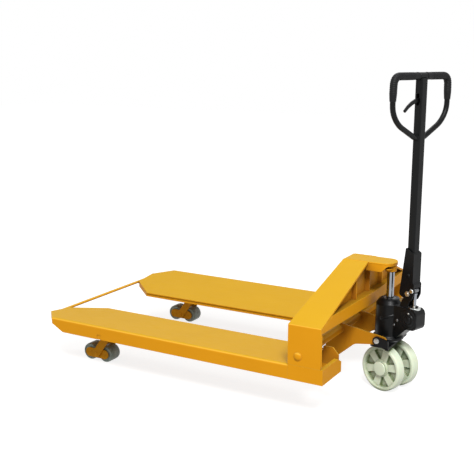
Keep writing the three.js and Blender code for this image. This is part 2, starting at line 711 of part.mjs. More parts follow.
function pumpBody() {
  const ramBore = ram.radius + runGap;
  const boreBottom = ramBottom - truck.liftTravel - ram.boreSpare;
  const flangeTop = pumpBottom + pump.flangeHeight;
  const seatDepth = pump.top - gland.recess;
  const profile = [
    [0, wheel.radius], [column.radius, wheel.radius], [column.radius, pumpBottom], [pump.flange, pumpBottom],
    [pump.flange, flangeTop], [pump.radius, flangeTop + pump.flare], [pump.radius, pump.top - pump.shoulder],
    [pump.radius - pump.shoulder, pump.top], [gland.radius + fitGap, pump.top],
    [gland.radius + fitGap, seatDepth], [ramBore, seatDepth], [ramBore, boreBottom], [0, boreBottom],
  ];
  const lugFace = strap([pivot.x, pivot.z], lug.radius, [lug.baseX, lug.baseZ], lug.baseRadius);
  const lugs = [[-lugOutside, -lugInside], [lugInside, lugOutside]]
    .map(([low, high]) => plate('y', lugFace, low, high));
  const near = -block.halfWidth;
  const soft = block.round;
  const blockSide = [
    [block.rear, gusset.bottom], [gusset.low, gusset.bottom], [gusset.front, block.bottom],
    ...arc([block.front - soft, block.bottom + soft], soft, -quarter, 0),
    ...arc([block.front - soft, block.top - soft], soft, 0, quarter), [block.rear, block.top],
  ];
  const body = join(
    turned('z', profile, wheelSides),
    round('y', [wheel.trail, wheel.radius], column.radius, -column.halfBoss, column.halfBoss, tubeSides),
    plate('y', blockSide, -block.halfWidth, block.halfWidth),
    round('y', [barrel.x, barrel.z], barrel.radius, near - barrel.length, near + overrun, tubeSides),
    round('z', [plungerX, 0], plungerBoss.radius, block.top - overrun, plungerBoss.top, tubeSides),
    plate('y', box(valveLever.x - post.halfLength, valveLever.x + post.halfLength, block.top - overrun,
      valveLever.z + post.halfLength), -post.halfWidth, post.halfWidth),
    round('y', [valveLever.x, valveLever.z], valveLever.pin, leverInner - valveLever.plate - runGap, 0),
    ...lugs,
  );
  const plungerBore = plungerBottom - plunger.travel - fitGap;
  const mouth = pump.top + overrun;
  const boreLathe = [[0, boreBottom], [ramBore, boreBottom], [ramBore, mouth], [0, mouth]];
  return cut(body,
    turned('z', boreLathe, wheelSides),
    bore('y', [wheel.trail, wheel.radius], axle.radius + fitGap, -wheel.centre, wheel.centre),
    bore('z', [plungerX, 0], plunger.radius + runGap, plungerBore, plungerBoss.top + overrun),
    bore('y', [pivot.x, pivot.z], pivot.radius + fitGap, -lugOutside - overrun, lugOutside + overrun));
}

const inUnit = (name, geometry, look) => add(name, geometry, look, turnedUnit);
inUnit('pump_body', pumpBody(), 'black');
inUnit('ram_gland', ring('z', ram.radius + runGap, gland.radius, pump.top - gland.height + fitGap,
  pump.top, wheelSides), 'steel');

function handlePin() {
  const centre = [pivot.x, pivot.z];
  const clear = socketOutside + runGap;
  const far = clear + pivot.head;
  return join(
    round('y', centre, pivot.radius, -clear - pivot.head / 2, clear + pivot.head / 2),
    plate('y', hexagon(centre, pivot.headRadius), -far, -clear),
    plate('y', hexagon(centre, pivot.headRadius), clear, far),
  );
}

inUnit('handle_pin', handlePin(), 'zinc');

function pumpPlunger() {
  const top = plungerTop;
  return join(
    round('z', [plungerX, 0], plunger.headRadius, top - plunger.headHeight, top),
    round('z', [plungerX, 0], plunger.radius, plungerBottom, top - plunger.headHeight / 2),
  );
}

inUnit('pump_plunger', pumpPlunger(), 'chrome');

// Steered wheels with their bearings on one axle
function steerWheel() {
  const half = wheel.width / 2;
  const edge = wheel.radius - wheel.chamfer;
  const bore = bearing.outer + fitGap;
  const profile = [
    [bore, -half], [edge, -half], [wheel.radius, -half + wheel.chamfer], [wheel.radius, half - wheel.chamfer],
    [edge, half], [wheel.rim, half], [wheel.rim, half - wheelHollow.depth],
    [wheel.hub, half - wheelHollow.depth], [wheel.hub, half], [bore, half], [bore, -half],
  ];
  const span = radians(pocket.spanDeg) / 2;
  const pockets = Array.from({ length: pocket.count }, (_, i) => {
    const aim = (turn * (i + 1 / 2)) / pocket.count;
    const sector = [
      ...arc([0, 0], pocket.outer, aim - span, aim + span, cornerSteps),
      ...arc([0, 0], pocket.inner, aim + span, aim - span, cornerSteps),
    ];
    return plate('y', sector, -half - overrun, -half + pocket.depth);
  });
  return moved(cut(turned('y', profile, wheelSides), ...pockets), wheel.trail, -wheel.centre, wheel.radius);
}

function wheelBearing() {
  const half = bearing.width / 2;
  const race = ring('y', axle.radius + runGap, bearing.outer, -half, half, wheelSides);
  return moved(race, wheel.trail, -wheel.centre, wheel.radius);
}

function wheelAxle() {
  const centre = [wheel.trail, wheel.radius];
  const half = axle.length / 2;
  return join(
    round('y', centre, axle.radius, -half, half),
    round('y', centre, axle.capRadius, -half - axle.cap, -half + fitGap),
    round('y', centre, axle.capRadius, half - fitGap, half + axle.cap),
  );
}

addPair('steer_wheel', steerWheel(), 'nylon', turnedUnit);
addPair('wheel_bearing', wheelBearing(), 'steel', turnedUnit);
inUnit('wheel_axle', wheelAxle(), 'zinc');

// Valve lever: a ring on the post pin with an arm curving forward
function lowerLever() {
  const ringCentre = [valveLever.x, valveLever.z];
  const shoulder = [valveLever.x + valveLever.reach / 2, valveLever.z + valveLever.end / 2];
  const end = [valveLever.x + valveLever.reach, valveLever.z - valveLever.drop];
  const outer = leverInner - valveLever.plate;
  const blade = join(
    plate('y', strap(ringCentre, valveLever.radius, shoulder, valveLever.end), outer, leverInner),
    plate('y', strap(shoulder, valveLever.end, end, valveLever.nose), outer, leverInner),
  );
  return cut(blade, bore('y', ringCentre, valveLever.pin + runGap, outer - overrun, leverInner + overrun));
}

inUnit('valve_lever', lowerLever(), 'zinc');

// Handle: socket, square stem, loop, grips and the parts that they carry
const stemRear = stem.x - stem.depth / 2;
const stemFront = stem.x + stem.depth / 2;
const socketFront = stemFront + fitGap + socket.plate;

function handleSocket() {
  const side = [
    [socket.rearTop, socket.top], [socketFront, socket.top], [socketFront, socket.wallBottom],
    [socketFront + chin.out, chin.top], [socketFront + chin.out, camCentre[1] - chin.round],
    ...arc([pivot.x, socket.floor + chin.round], chin.round, 0, -quarter, cornerSteps),
    [socket.rearBottom, pivot.z - cam.up],
  ];
  const body = join(
    plate('y', side, -socketOutside, -socketInside),
    plate('y', side, socketInside, socketOutside),
    plate('z', box(stemFront + fitGap, socketFront, -socketInside - fitGap, socketInside + fitGap),
      socket.wallBottom, socket.top),
  );
  const reach = socketOutside + overrun;
  return cut(body,
    bore('y', [pivot.x, pivot.z], pivot.radius + runGap, -reach, reach),
    bore('y', camCentre, cam.axle + fitGap, -reach, reach),
    bore('y', [stem.x, clampBolt.z], clampBolt.radius + fitGap, -reach, reach));
}

const stemTop = loop.top - loop.radius - fitGap;

function handleStem() {
  const outer = box(stemRear, stemFront, -stemHalf, stemHalf);
  const inner = box(stemRear + stem.wall, stemFront - stem.wall, -stemHalf + stem.wall, stemHalf - stem.wall);
  const tube = plate('z', outer, stem.bottom, stemTop, [inner]);
  const half = trigger.plate / 2 + runGap;
  const reach = stemHalf + overrun;
  const slotPlan = box(stem.x - half, stem.x + half, -reach, -stemHalf + stem.wall + overrun);
  const slot = plate('z', slotPlan, triggerZ - slotHeight / 2, triggerZ + slotHeight / 2);
  const bolted = cut(tube, slot, bore('y', [stem.x, clampBolt.z], clampBolt.radius + fitGap, -reach, reach));
  const inWall = stem.wall / 2;
  return join(bolted, round('x', [0, triggerZ], trigger.pin, stemRear + inWall, stemFront - inWall));
}

// One tube bent round the hand space, from the left of the stem over the top to the right.
function loopPath() {
  const start = stemHalf + fitGap;
  const joinZ = loop.top - loopDrop.join;
  const bendZ = loop.top - loopDrop.bend;
  const third = 1 / 3;
  const left = [
    [start, joinZ], [start + bend.root, joinZ],
    [bend.half * (1 - third), bendZ - (bendZ - joinZ) * third],
    [bend.half, bendZ], [loop.halfSide, loop.top - loopDrop.sideLow],
    [loop.halfSide, loop.top - loopDrop.sideTop], [loop.halfTop, loop.top],
  ];
  const path = new THREE.CurvePath();
  const points = [...left, ...[...left].reverse().map(([y, z]) => [-y, z])].map(([y, z]) => unit(0, -y, z));
  let from = points[0];
  points.slice(1, -1).forEach((point, i) => {
    const into = points[i].clone().sub(point);
    const out = points[i + 2].clone().sub(point);
    const reach = Math.min(bend.corner, into.length() * bend.mostShare, out.length() * bend.mostShare);
    const entry = point.clone().addScaledVector(into.normalize(), reach);
    const exit = point.clone().addScaledVector(out.normalize(), reach);
    path.add(new THREE.LineCurve3(from, entry));
    path.add(new THREE.QuadraticBezierCurve3(entry, point, exit));
    from = exit;
  });
  path.add(new THREE.LineCurve3(from, points[points.length - 1]));
  return path;
}

function sweep(path, points, steps, holes = []) {
  const settings = { steps, bevelEnabled: false, extrudePath: path };
  return closed(new THREE.ExtrudeGeometry(outline(points, holes), settings));
}

// The part of a path between two shares of its length.
class Stretch extends THREE.Curve {
  constructor(path, from, to) {
    super();
    this.path = path;
    this.from = from;
    this.to = to;
  }

  getPoint(share, target = unit(0, 0, 0)) {
    return target.copy(this.path.getPointAt(this.from + (this.to - this.from) * share));
  }
}

function handleGrip(path) {
  const stretch = new Stretch(path, grip.startShare, grip.endShare);
  const inner = around([0, 0], loop.radius + gripGap, loopSides);
  return moved(sweep(stretch, circle([0, 0], grip.radius, loopSides), grip.steps, [inner]), stem.x, 0, 0);
}

function controlLever() {
  const root = [0, triggerZ];
  const end = [-trigger.reach, triggerZ - trigger.drop];
  const mid = [-trigger.reach / 2 - trigger.end, triggerZ - trigger.drop / 3];
  const x = stem.x - trigger.plate / 2;
  const blade = join(
    plate('x', strap(root, trigger.root, mid, trigger.root - trigger.end / 2), x, x + trigger.plate),
    plate('x', strap(mid, trigger.root - trigger.end / 2, end, trigger.end), x, x + trigger.plate),
    plate('x', strap(root, trigger.root, [trigger.inner, triggerZ], trigger.end), x, x + trigger.plate),
  );
  return cut(blade, bore('x', root, trigger.pin + runGap, x - overrun, x + trigger.plate + overrun));
}

inUnit('handle_socket', handleSocket(), 'black');
inUnit('handle_stem', handleStem(), 'black');
const handlePath = loopPath();
const loopTube = sweep(handlePath, circle([0, 0], loop.radius, loopSides), loop.steps);
inUnit('handle_loop', moved(loopTube, stem.x, 0, 0), 'black');
addPair('handle_grip', handleGrip(handlePath), 'rubber', turnedUnit);
inUnit('control_lever', controlLever(), 'black');

// Pull rod inside the stem, with a finger under the tail of the control lever
function releaseRod() {
  const x = stem.x - pullRod.back;
  const z = triggerZ - trigger.root - runGap - pullRod.radius;
  return join(
    round('z', [x, trigger.inner], pullRod.radius, pullRod.bottom, z),
    round('x', [trigger.inner, z], pullRod.radius, x - pullRod.radius, stem.x + pullRod.radius),
  );
}

inUnit('release_rod', releaseRod(), 'zinc');
inUnit('cam_bolt', round('y', camCentre, cam.axle, -socketOutside, socketOutside), 'zinc');
const camRoller = ring('y', cam.axle + runGap, cam.radius, -cam.width / 2, cam.width / 2);
inUnit('cam_roller', moved(camRoller, camCentre[0], 0, camCentre[1]), 'steel');
const stemBolt = round('y', [stem.x, clampBolt.z], clampBolt.radius, -socketOutside, socketOutside);
inUnit('stem_bolt', stemBolt, 'zinc');

// The origin lies on the floor below the middle of the overall box.
whole.updateMatrixWorld(true);
const overall = new THREE.Box3().setFromObject(whole, true);
whole.position.set(-(overall.min.x + overall.max.x) / 2, 0, -overall.min.z);
whole.updateMatrixWorld(true);

export default whole;
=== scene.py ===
# Wide hand pallet truck: orange welded forks and portal, black steered pump unit, loop handle.
# Sizes are in millimetres, and two placing matrices turn them into metres in the truck's frame.
import math
import json
import bpy
import bmesh
from mathutils import Matrix, Vector
from mathutils.geometry import tessellate_polygon


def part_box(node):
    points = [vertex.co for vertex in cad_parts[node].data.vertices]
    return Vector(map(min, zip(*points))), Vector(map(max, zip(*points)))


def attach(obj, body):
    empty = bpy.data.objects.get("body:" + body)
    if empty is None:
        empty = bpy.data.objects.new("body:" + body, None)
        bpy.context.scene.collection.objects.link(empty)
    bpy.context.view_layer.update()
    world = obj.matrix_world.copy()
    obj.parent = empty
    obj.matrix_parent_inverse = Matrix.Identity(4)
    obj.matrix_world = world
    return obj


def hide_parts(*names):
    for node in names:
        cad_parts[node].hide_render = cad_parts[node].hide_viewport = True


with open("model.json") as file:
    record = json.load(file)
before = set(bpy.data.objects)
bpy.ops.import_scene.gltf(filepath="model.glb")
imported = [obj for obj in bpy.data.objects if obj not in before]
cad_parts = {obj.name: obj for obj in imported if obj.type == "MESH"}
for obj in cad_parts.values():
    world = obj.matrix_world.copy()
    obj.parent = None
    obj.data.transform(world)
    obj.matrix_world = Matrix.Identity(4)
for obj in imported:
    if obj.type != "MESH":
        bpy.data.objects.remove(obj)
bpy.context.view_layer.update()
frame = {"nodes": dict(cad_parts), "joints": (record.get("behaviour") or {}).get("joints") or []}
scene = bpy.context.scene
joints = {joint["name"]: joint for joint in frame["joints"]}
print("frame loaded:", len(frame["nodes"]), "nodes")

# Placing: the truck's own axes start at the front face of the risers, the unit's at the steering axis
milli = 0.001
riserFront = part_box("riser_plate_left")[0].x
steerAt = Vector(joints["steering"]["pos_m"])
sideways = Vector(joints["handle_tilt"]["axis"])
forward = Vector((sideways.y, -sideways.x, 0))
truckSpot = Matrix.Translation((riserFront, 0, 0)) @ Matrix.Scale(milli, 4)
unitTurn = Matrix((forward, sideways, (0, 0, 1))).transposed().to_4x4()
unitSpot = Matrix.Translation((steerAt.x, steerAt.y, 0)) @ unitTurn @ Matrix.Scale(milli, 4)

# Camera at the photograph's viewpoint
camera = {
    "place": (1273.91, -3082.79, 1277.99),
    "yaw": 29.555,
    "tilt": 78.0,
    "roll": 0.3156,
    "lens": 65.36,
    "sensor": 36,
    "near": 0.1,
    "far": 100,
}


def placeCamera():
    data = bpy.data.cameras.new("photoCamera")
    data.lens = camera["lens"]
    data.sensor_width = camera["sensor"]
    data.clip_start = camera["near"]
    data.clip_end = camera["far"]
    eye = bpy.data.objects.new("photoCamera", data)
    turns = ((camera["yaw"], "Z"), (camera["tilt"], "X"), (camera["roll"], "Z"))
    pose = Matrix.Translation(truckSpot @ Vector(camera["place"]))
    for degrees, axis in turns:
        pose = pose @ Matrix.Rotation(math.radians(degrees), 4, axis)
    eye.matrix_world = pose
    scene.collection.objects.link(eye)
    scene.camera = eye


placeCamera()
print("camera placed")

# Outlines


def arcPoints(centre, radius, start, end, steps=10):
    angles = [start + (end - start) * i / steps for i in range(steps + 1)]
    return [(centre[0] + radius * math.cos(a), centre[1] + radius * math.sin(a)) for a in angles]


def circlePoints(centre, radius, steps=40):
    return arcPoints(centre, radius, 0, 2 * math.pi, steps)[:-1]


def boxPoints(u0, u1, v0, v1):
    return [(u0, v0), (u1, v0), (u1, v1), (u0, v1)]


def strapPoints(a, radiusA, b, radiusB, steps=14):
    aim = math.atan2(b[1] - a[1], b[0] - a[0])
    lean = math.acos((radiusA - radiusB) / math.dist(a, b))
    return arcPoints(a, radiusA, aim + lean, aim + 2 * math.pi - lean, steps) + arcPoints(
        b, radiusB, aim - lean, aim + lean, steps
    )


def roundCorners(points, radii, steps=5, openEnds=False):
    # each corner becomes an arc; radii is one number or one for each corner
    count = len(points)
    made = []
    for i in range(count):
        here = Vector(points[i])
        radius = radii[i] if isinstance(radii, (list, tuple)) else radii
        if radius <= 0 or (openEnds and i in (0, count - 1)):
            made.append(tuple(here))
            continue
        into = Vector(points[i - 1]) - here
        out = Vector(points[(i + 1) % count]) - here
        half = into.angle(out) / 2
        reach = min(radius / math.tan(half), 0.49 * into.length, 0.49 * out.length)
        radius = reach * math.tan(half)
        middle = (into.normalized() + out.normalized()).normalized()
        centre = here + middle * (radius / math.sin(half))
        first = here + into.normalized() * reach - centre
        last = here + out.normalized() * reach - centre
        start = math.atan2(first.y, first.x)
        sweep = math.atan2(last.y, last.x) - start
        sweep = (sweep + math.pi) % (2 * math.pi) - math.pi
        made += arcPoints(centre, radius, start, start + sweep, steps)
    return made


def bandPoints(points, thickness):
    # a line of points widened to its left, or to its right where thickness is negative
    other = []
    for i, (u, v) in enumerate(points):
        before = points[max(i - 1, 0)]
        after = points[min(i + 1, len(points) - 1)]
        into = math.atan2(v - before[1], u - before[0]) if i else None
        out = math.atan2(after[1] - v, after[0] - u) if i < len(points) - 1 else into
        into = out if into is None else into
        half = ((out - into + math.pi) % (2 * math.pi) - math.pi) / 2
        reach = thickness / math.cos(half)
        angle = into + half + math.pi / 2
        other.append((u + reach * math.cos(angle), v + reach * math.sin(angle)))
    return list(points) + other[::-1]


# Shapes: each is a list of points and a list of faces


def standUp(axis, u, v, w):
    return {"x": (w, u, v), "y": (u, w, v), "z": (u, v, w)}[axis]


def joinShapes(*shapes):
    points, faces = [], []
    for morePoints, moreFaces in shapes:
        start = len(points)
        points += morePoints
        faces += [[start + k for k in face] for face in moreFaces]
    return points, faces


def prism(axis, outline, low, high, holes=()):
    # low and high are levels, or functions of the outline's two coordinates
    loops = [list(outline)] + [list(hole) for hole in holes]
    points, faces = [], []
    for level in (low, high):
        for loop in loops:
            points += [standUp(axis, u, v, level(u, v) if callable(level) else level) for u, v in loop]
    total = len(points) // 2
    start = 0
    for loop in loops:
        size = len(loop)
        for i in range(size):
            a, b = start + i, start + (i + 1) % size
            faces.append((a, b, total + b, total + a))
        start += size
    if holes:
        flat = [[Vector((u, v, 0)) for u, v in loop] for loop in loops]
        for triangle in tessellate_polygon(flat):
            faces.append(tuple(triangle))
            faces.append(tuple(total + k for k in reversed(triangle)))
    else:
        faces += [tuple(range(total)), tuple(range(total, 2 * total))]
    return points, faces


def skin(rings, closedRing=True, closedRun=False, caps=True):
    size = len(rings[0])
    points = [point for ring in rings for point in ring]
    faces = []
    for i in range(len(rings) if closedRun else len(rings) - 1):
        here, after = i * size, (i + 1) % len(rings) * size
        for k in range(size if closedRing else size - 1):
            more = (k + 1) % size
            faces.append((here + k, here + more, after + more, after + k))
    if caps and not closedRun:
        faces += [tuple(range(size)), tuple(range(len(points) - size, len(points)))]
    return points, faces


def lathe(axis, profile, centre=(0, 0), steps=48, ring=False):
    # profile is [radius, height] points; a ring's profile is a closed loop clear of the axis
    rings = []
    for i in range(steps):
        angle = 2 * math.pi * i / steps
        cos, sin = math.cos(angle), math.sin(angle)
        rings.append([standUp(axis, centre[0] + r * cos, centre[1] + r * sin, h) for r, h in profile])
    return skin(rings, closedRing=ring, closedRun=True)


def ringShape(axis, inner, outer, low, high, centre=(0, 0), steps=48):
    return lathe(axis, [(inner, low), (outer, low), (outer, high), (inner, high)], centre, steps, ring=True)


def barShape(axis, centre, radius, low, high, chamfer=0.8, steps=32):
    profile = [
        (0, low), (radius - chamfer, low), (radius, low + chamfer),
        (radius, high - chamfer), (radius - chamfer, high), (0, high),
    ]
    return lathe(axis, profile, centre, steps)


def tubeShape(path, radius, sides=20, squash=1.0):
    # a round bar along the path; radius is one number or one for each point
    path = [Vector(point) for point in path]
    last = len(path) - 1
    heading = [(path[min(i + 1, last)] - path[max(i - 1, 0)]).normalized() for i in range(last + 1)]
    normal = heading[0].orthogonal().normalized()
    rings = []
    for i, point in enumerate(path):
        if i:
            normal = heading[i - 1].rotation_difference(heading[i]) @ normal
        across = heading[i].cross(normal)
        size = radius[i] if isinstance(radius, (list, tuple)) else radius
        ring = []
        for k in range(sides):
            angle = 2 * math.pi * k / sides
            offset = normal * math.cos(angle) + across * math.sin(angle) * squash
            ring.append(tuple(point + offset * size))
        rings.append(ring)
    return skin(rings)


def weldShape(start, end, size=3.2, pitch=5.0):
    # a weld bead: a bar whose size ripples at the pitch of the weld pool
    start, end = Vector(start), Vector(end)
    count = max(int((end - start).length / pitch * 4), 4)
    places = [i / count for i in range(count + 1)]
    sizes = []
    for share in places:
        ripple = 1 + 0.1 * math.sin(share * count * math.pi / 2) + 0.05 * math.sin(share * 37)
        ends = min(1, 0.35 + 8 * min(share, 1 - share))
        sizes.append(size * ripple * ends)
    return tubeShape([start.lerp(end, share) for share in places], sizes, sides=8)


def weldRing(axis, centre, radius, level, size=2.6, pitch=5.0):
    # the same bead round a tube
    steps = max(int(2 * math.pi * radius / pitch * 4), 16)
    rings = []
    for i in range(steps):
        angle = 2 * math.pi * i / steps
        thick = size * (1 + 0.12 * math.sin(i * math.pi / 2 + 0.4 * math.sin(angle * 3)))
        ring = []
        for k in range(8):
            turn = 2 * math.pi * k / 8
            r = radius + thick * math.cos(turn)
            ring.append(standUp(
                axis, centre[0] + r * math.cos(angle), centre[1] + r * math.sin(angle),
                level + thick * math.sin(turn),
            ))
        rings.append(ring)
    return skin(rings, closedRun=True)


def workMesh(shape):
    work = bmesh.new()
    points, faces = shape
    made = [work.verts.new(point) for point in points]
    for face in faces:
        try:
            work.faces.new([made[k] for k in face])
        except ValueError:  # a face that is already there
            pass
    bmesh.ops.remove_doubles(work, verts=work.verts, dist=0.002)
    bmesh.ops.dissolve_degenerate(work, edges=work.edges, dist=0.002)
    return work


def sliceShape(shape, point, normal):
    # cuts off what lies on the normal's side of the plane and closes the cut
    work = workMesh(shape)
    everything = work.verts[:] + work.edges[:] + work.faces[:]
    cut = bmesh.ops.bisect_plane(
        work, geom=everything, plane_co=point, plane_no=normal, clear_outer=True, dist=0.001
    )
    edges = [item for item in cut["geom_cut"] if isinstance(item, bmesh.types.BMEdge)]
    bmesh.ops.holes_fill(work, edges=edges)
    work.verts.index_update()
    points = [tuple(vert.co) for vert in work.verts]
    faces = [tuple(vert.index for vert in face.verts) for face in work.faces]
    work.free()
    return points, faces


def meshFrom(name, shape, spot, mirror=False, sharpAngle=35):
    work = workMesh(shape)
    if mirror:
        work.transform(Matrix.Scale(-1, 4, (0, 1, 0)))
    work.transform(spot)
    bmesh.ops.recalc_face_normals(work, faces=work.faces)
    limit = math.radians(sharpAngle)
    for face in work.faces:
        face.smooth = True
    for edge in work.edges:
        edge.smooth = len(edge.link_faces) == 2 and edge.calc_face_angle(0) < limit
    mesh = bpy.data.meshes.new(name)
    work.to_mesh(mesh)
    work.free()
    return mesh


def softenEdges(piece, width, segments=3, weld=False):
    if weld:
        piece.modifiers.new("weldPoints", "WELD").merge_threshold = 0.00002
    soften = piece.modifiers.new("softEdges", "BEVEL")
    soften.width = width * milli
    soften.segments = segments
    soften.limit_method = "ANGLE"
    soften.angle_limit = math.radians(32)
    soften.harden_normals = False
    smooth = piece.modifiers.new("flatFaces", "WEIGHTED_NORMAL")
    smooth.keep_sharp = False
    smooth.weight = 80


def settle(piece):
    # replaces the mesh by the result of its modifiers
    bpy.context.view_layer.update()
    graph = bpy.context.evaluated_depsgraph_get()
    made = bpy.data.meshes.new_from_object(piece.evaluated_get(graph))
    piece.modifiers.clear()
    piece.data = made


def carve(piece, shapes, spot, mirror=False):
    for i, shape in enumerate(shapes):
        cutter = bpy.data.objects.new("cutter", meshFrom("cutter", shape, spot, mirror))
        scene.collection.objects.link(cutter)
        cutting = piece.modifiers.new("cut", "BOOLEAN")
        cutting.operation = "DIFFERENCE"
        cutting.solver = "EXACT"
        cutting.object = cutter
        settle(piece)
        bpy.data.objects.remove(cutter)
    limit = math.radians(35)
    work = bmesh.new()
    work.from_mesh(piece.data)
    for face in work.faces:
        face.smooth = True
    for edge in work.edges:
        edge.smooth = len(edge.link_faces) == 2 and edge.calc_face_angle(0) < limit
    work.to_mesh(piece.data)
    work.free()


def makePiece(name, shape, finish, body, replaced=(), spot=truckSpot, bevel=0, mirror=False, cuts=()):
    piece = bpy.data.objects.new(name, meshFrom(name, shape, spot, mirror))
    scene.collection.objects.link(piece)
    if cuts:
        carve(piece, cuts, spot, mirror)
    piece.data.materials.clear()
    piece.data.materials.append(finishes[finish][0])
    if bevel:
        for edge in piece.data.edges:
            edge.use_edge_sharp = False
        softenEdges(piece, bevel)
    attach(piece, body)
    if replaced:
        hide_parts(*replaced)
    return piece


def makePair(name, shape, finish, body, replaced=(), **more):
    # drawn for the left side; a body that ends with _ has one of its own each side
    for side, mirror in (("left", False), ("right", True)):
        onBody = body + side if body.endswith("_") else body
        stands = [f"{node}_{side}" for node in replaced]
        makePiece(f"{name}_{side}", shape, finish, onBody, stands, mirror=mirror, **more)


def dressNode(name, finish, bevel=0):
    node = frame["nodes"][name]
    if not node.material_slots:
        node.data.materials.append(None)
    node.material_slots[0].link = "OBJECT"
    node.material_slots[0].material = finishes[finish][0]
    if bevel:
        softenEdges(node, bevel, segments=2, weld=True)


def dressPair(name, finish, bevel=0):
    for side in ("left", "right"):
        dressNode(f"{name}_{side}", finish, bevel)


# Materials


def linear(code):
    # an sRGB hex colour as the linear values that Blender works in
    parts = [int(code[i:i + 2], 16) / 255 for i in (1, 3, 5)]
    return tuple(p / 12.92 if p <= 0.04045 else ((p + 0.055) / 1.055) ** 2.4 for p in parts) + (1,)


def addNode(tree, kind, settings=None, links=None):
    node = tree.nodes.new(kind)
    for name, value in (settings or {}).items():
        if isinstance(name, str) and hasattr(node, name):
            setattr(node, name, value)
        else:
            node.inputs[name].default_value = value
    for name, source in (links or {}).items():
        tree.links.new(source, node.inputs[name])
    return node


def startMaterial(name, settings):
    material = bpy.data.materials.new(name)
    material.use_nodes = True
    tree = material.node_tree
    tree.nodes.clear()
    shader = addNode(tree, "ShaderNodeBsdfPrincipled", settings)
    addNode(tree, "ShaderNodeOutputMaterial", links={"Surface": shader.outputs["BSDF"]})
    coords = addNode(tree, "ShaderNodeTexCoord").outputs["Object"]
    return material, tree, shader, coords


def perMetre(size):
    # a pattern's scale from the real size of one grain in millimetres
    return 1 / (size * milli)


colourA, colourB, mixedColour = 6, 7, 2  # sockets of a colour Mix node


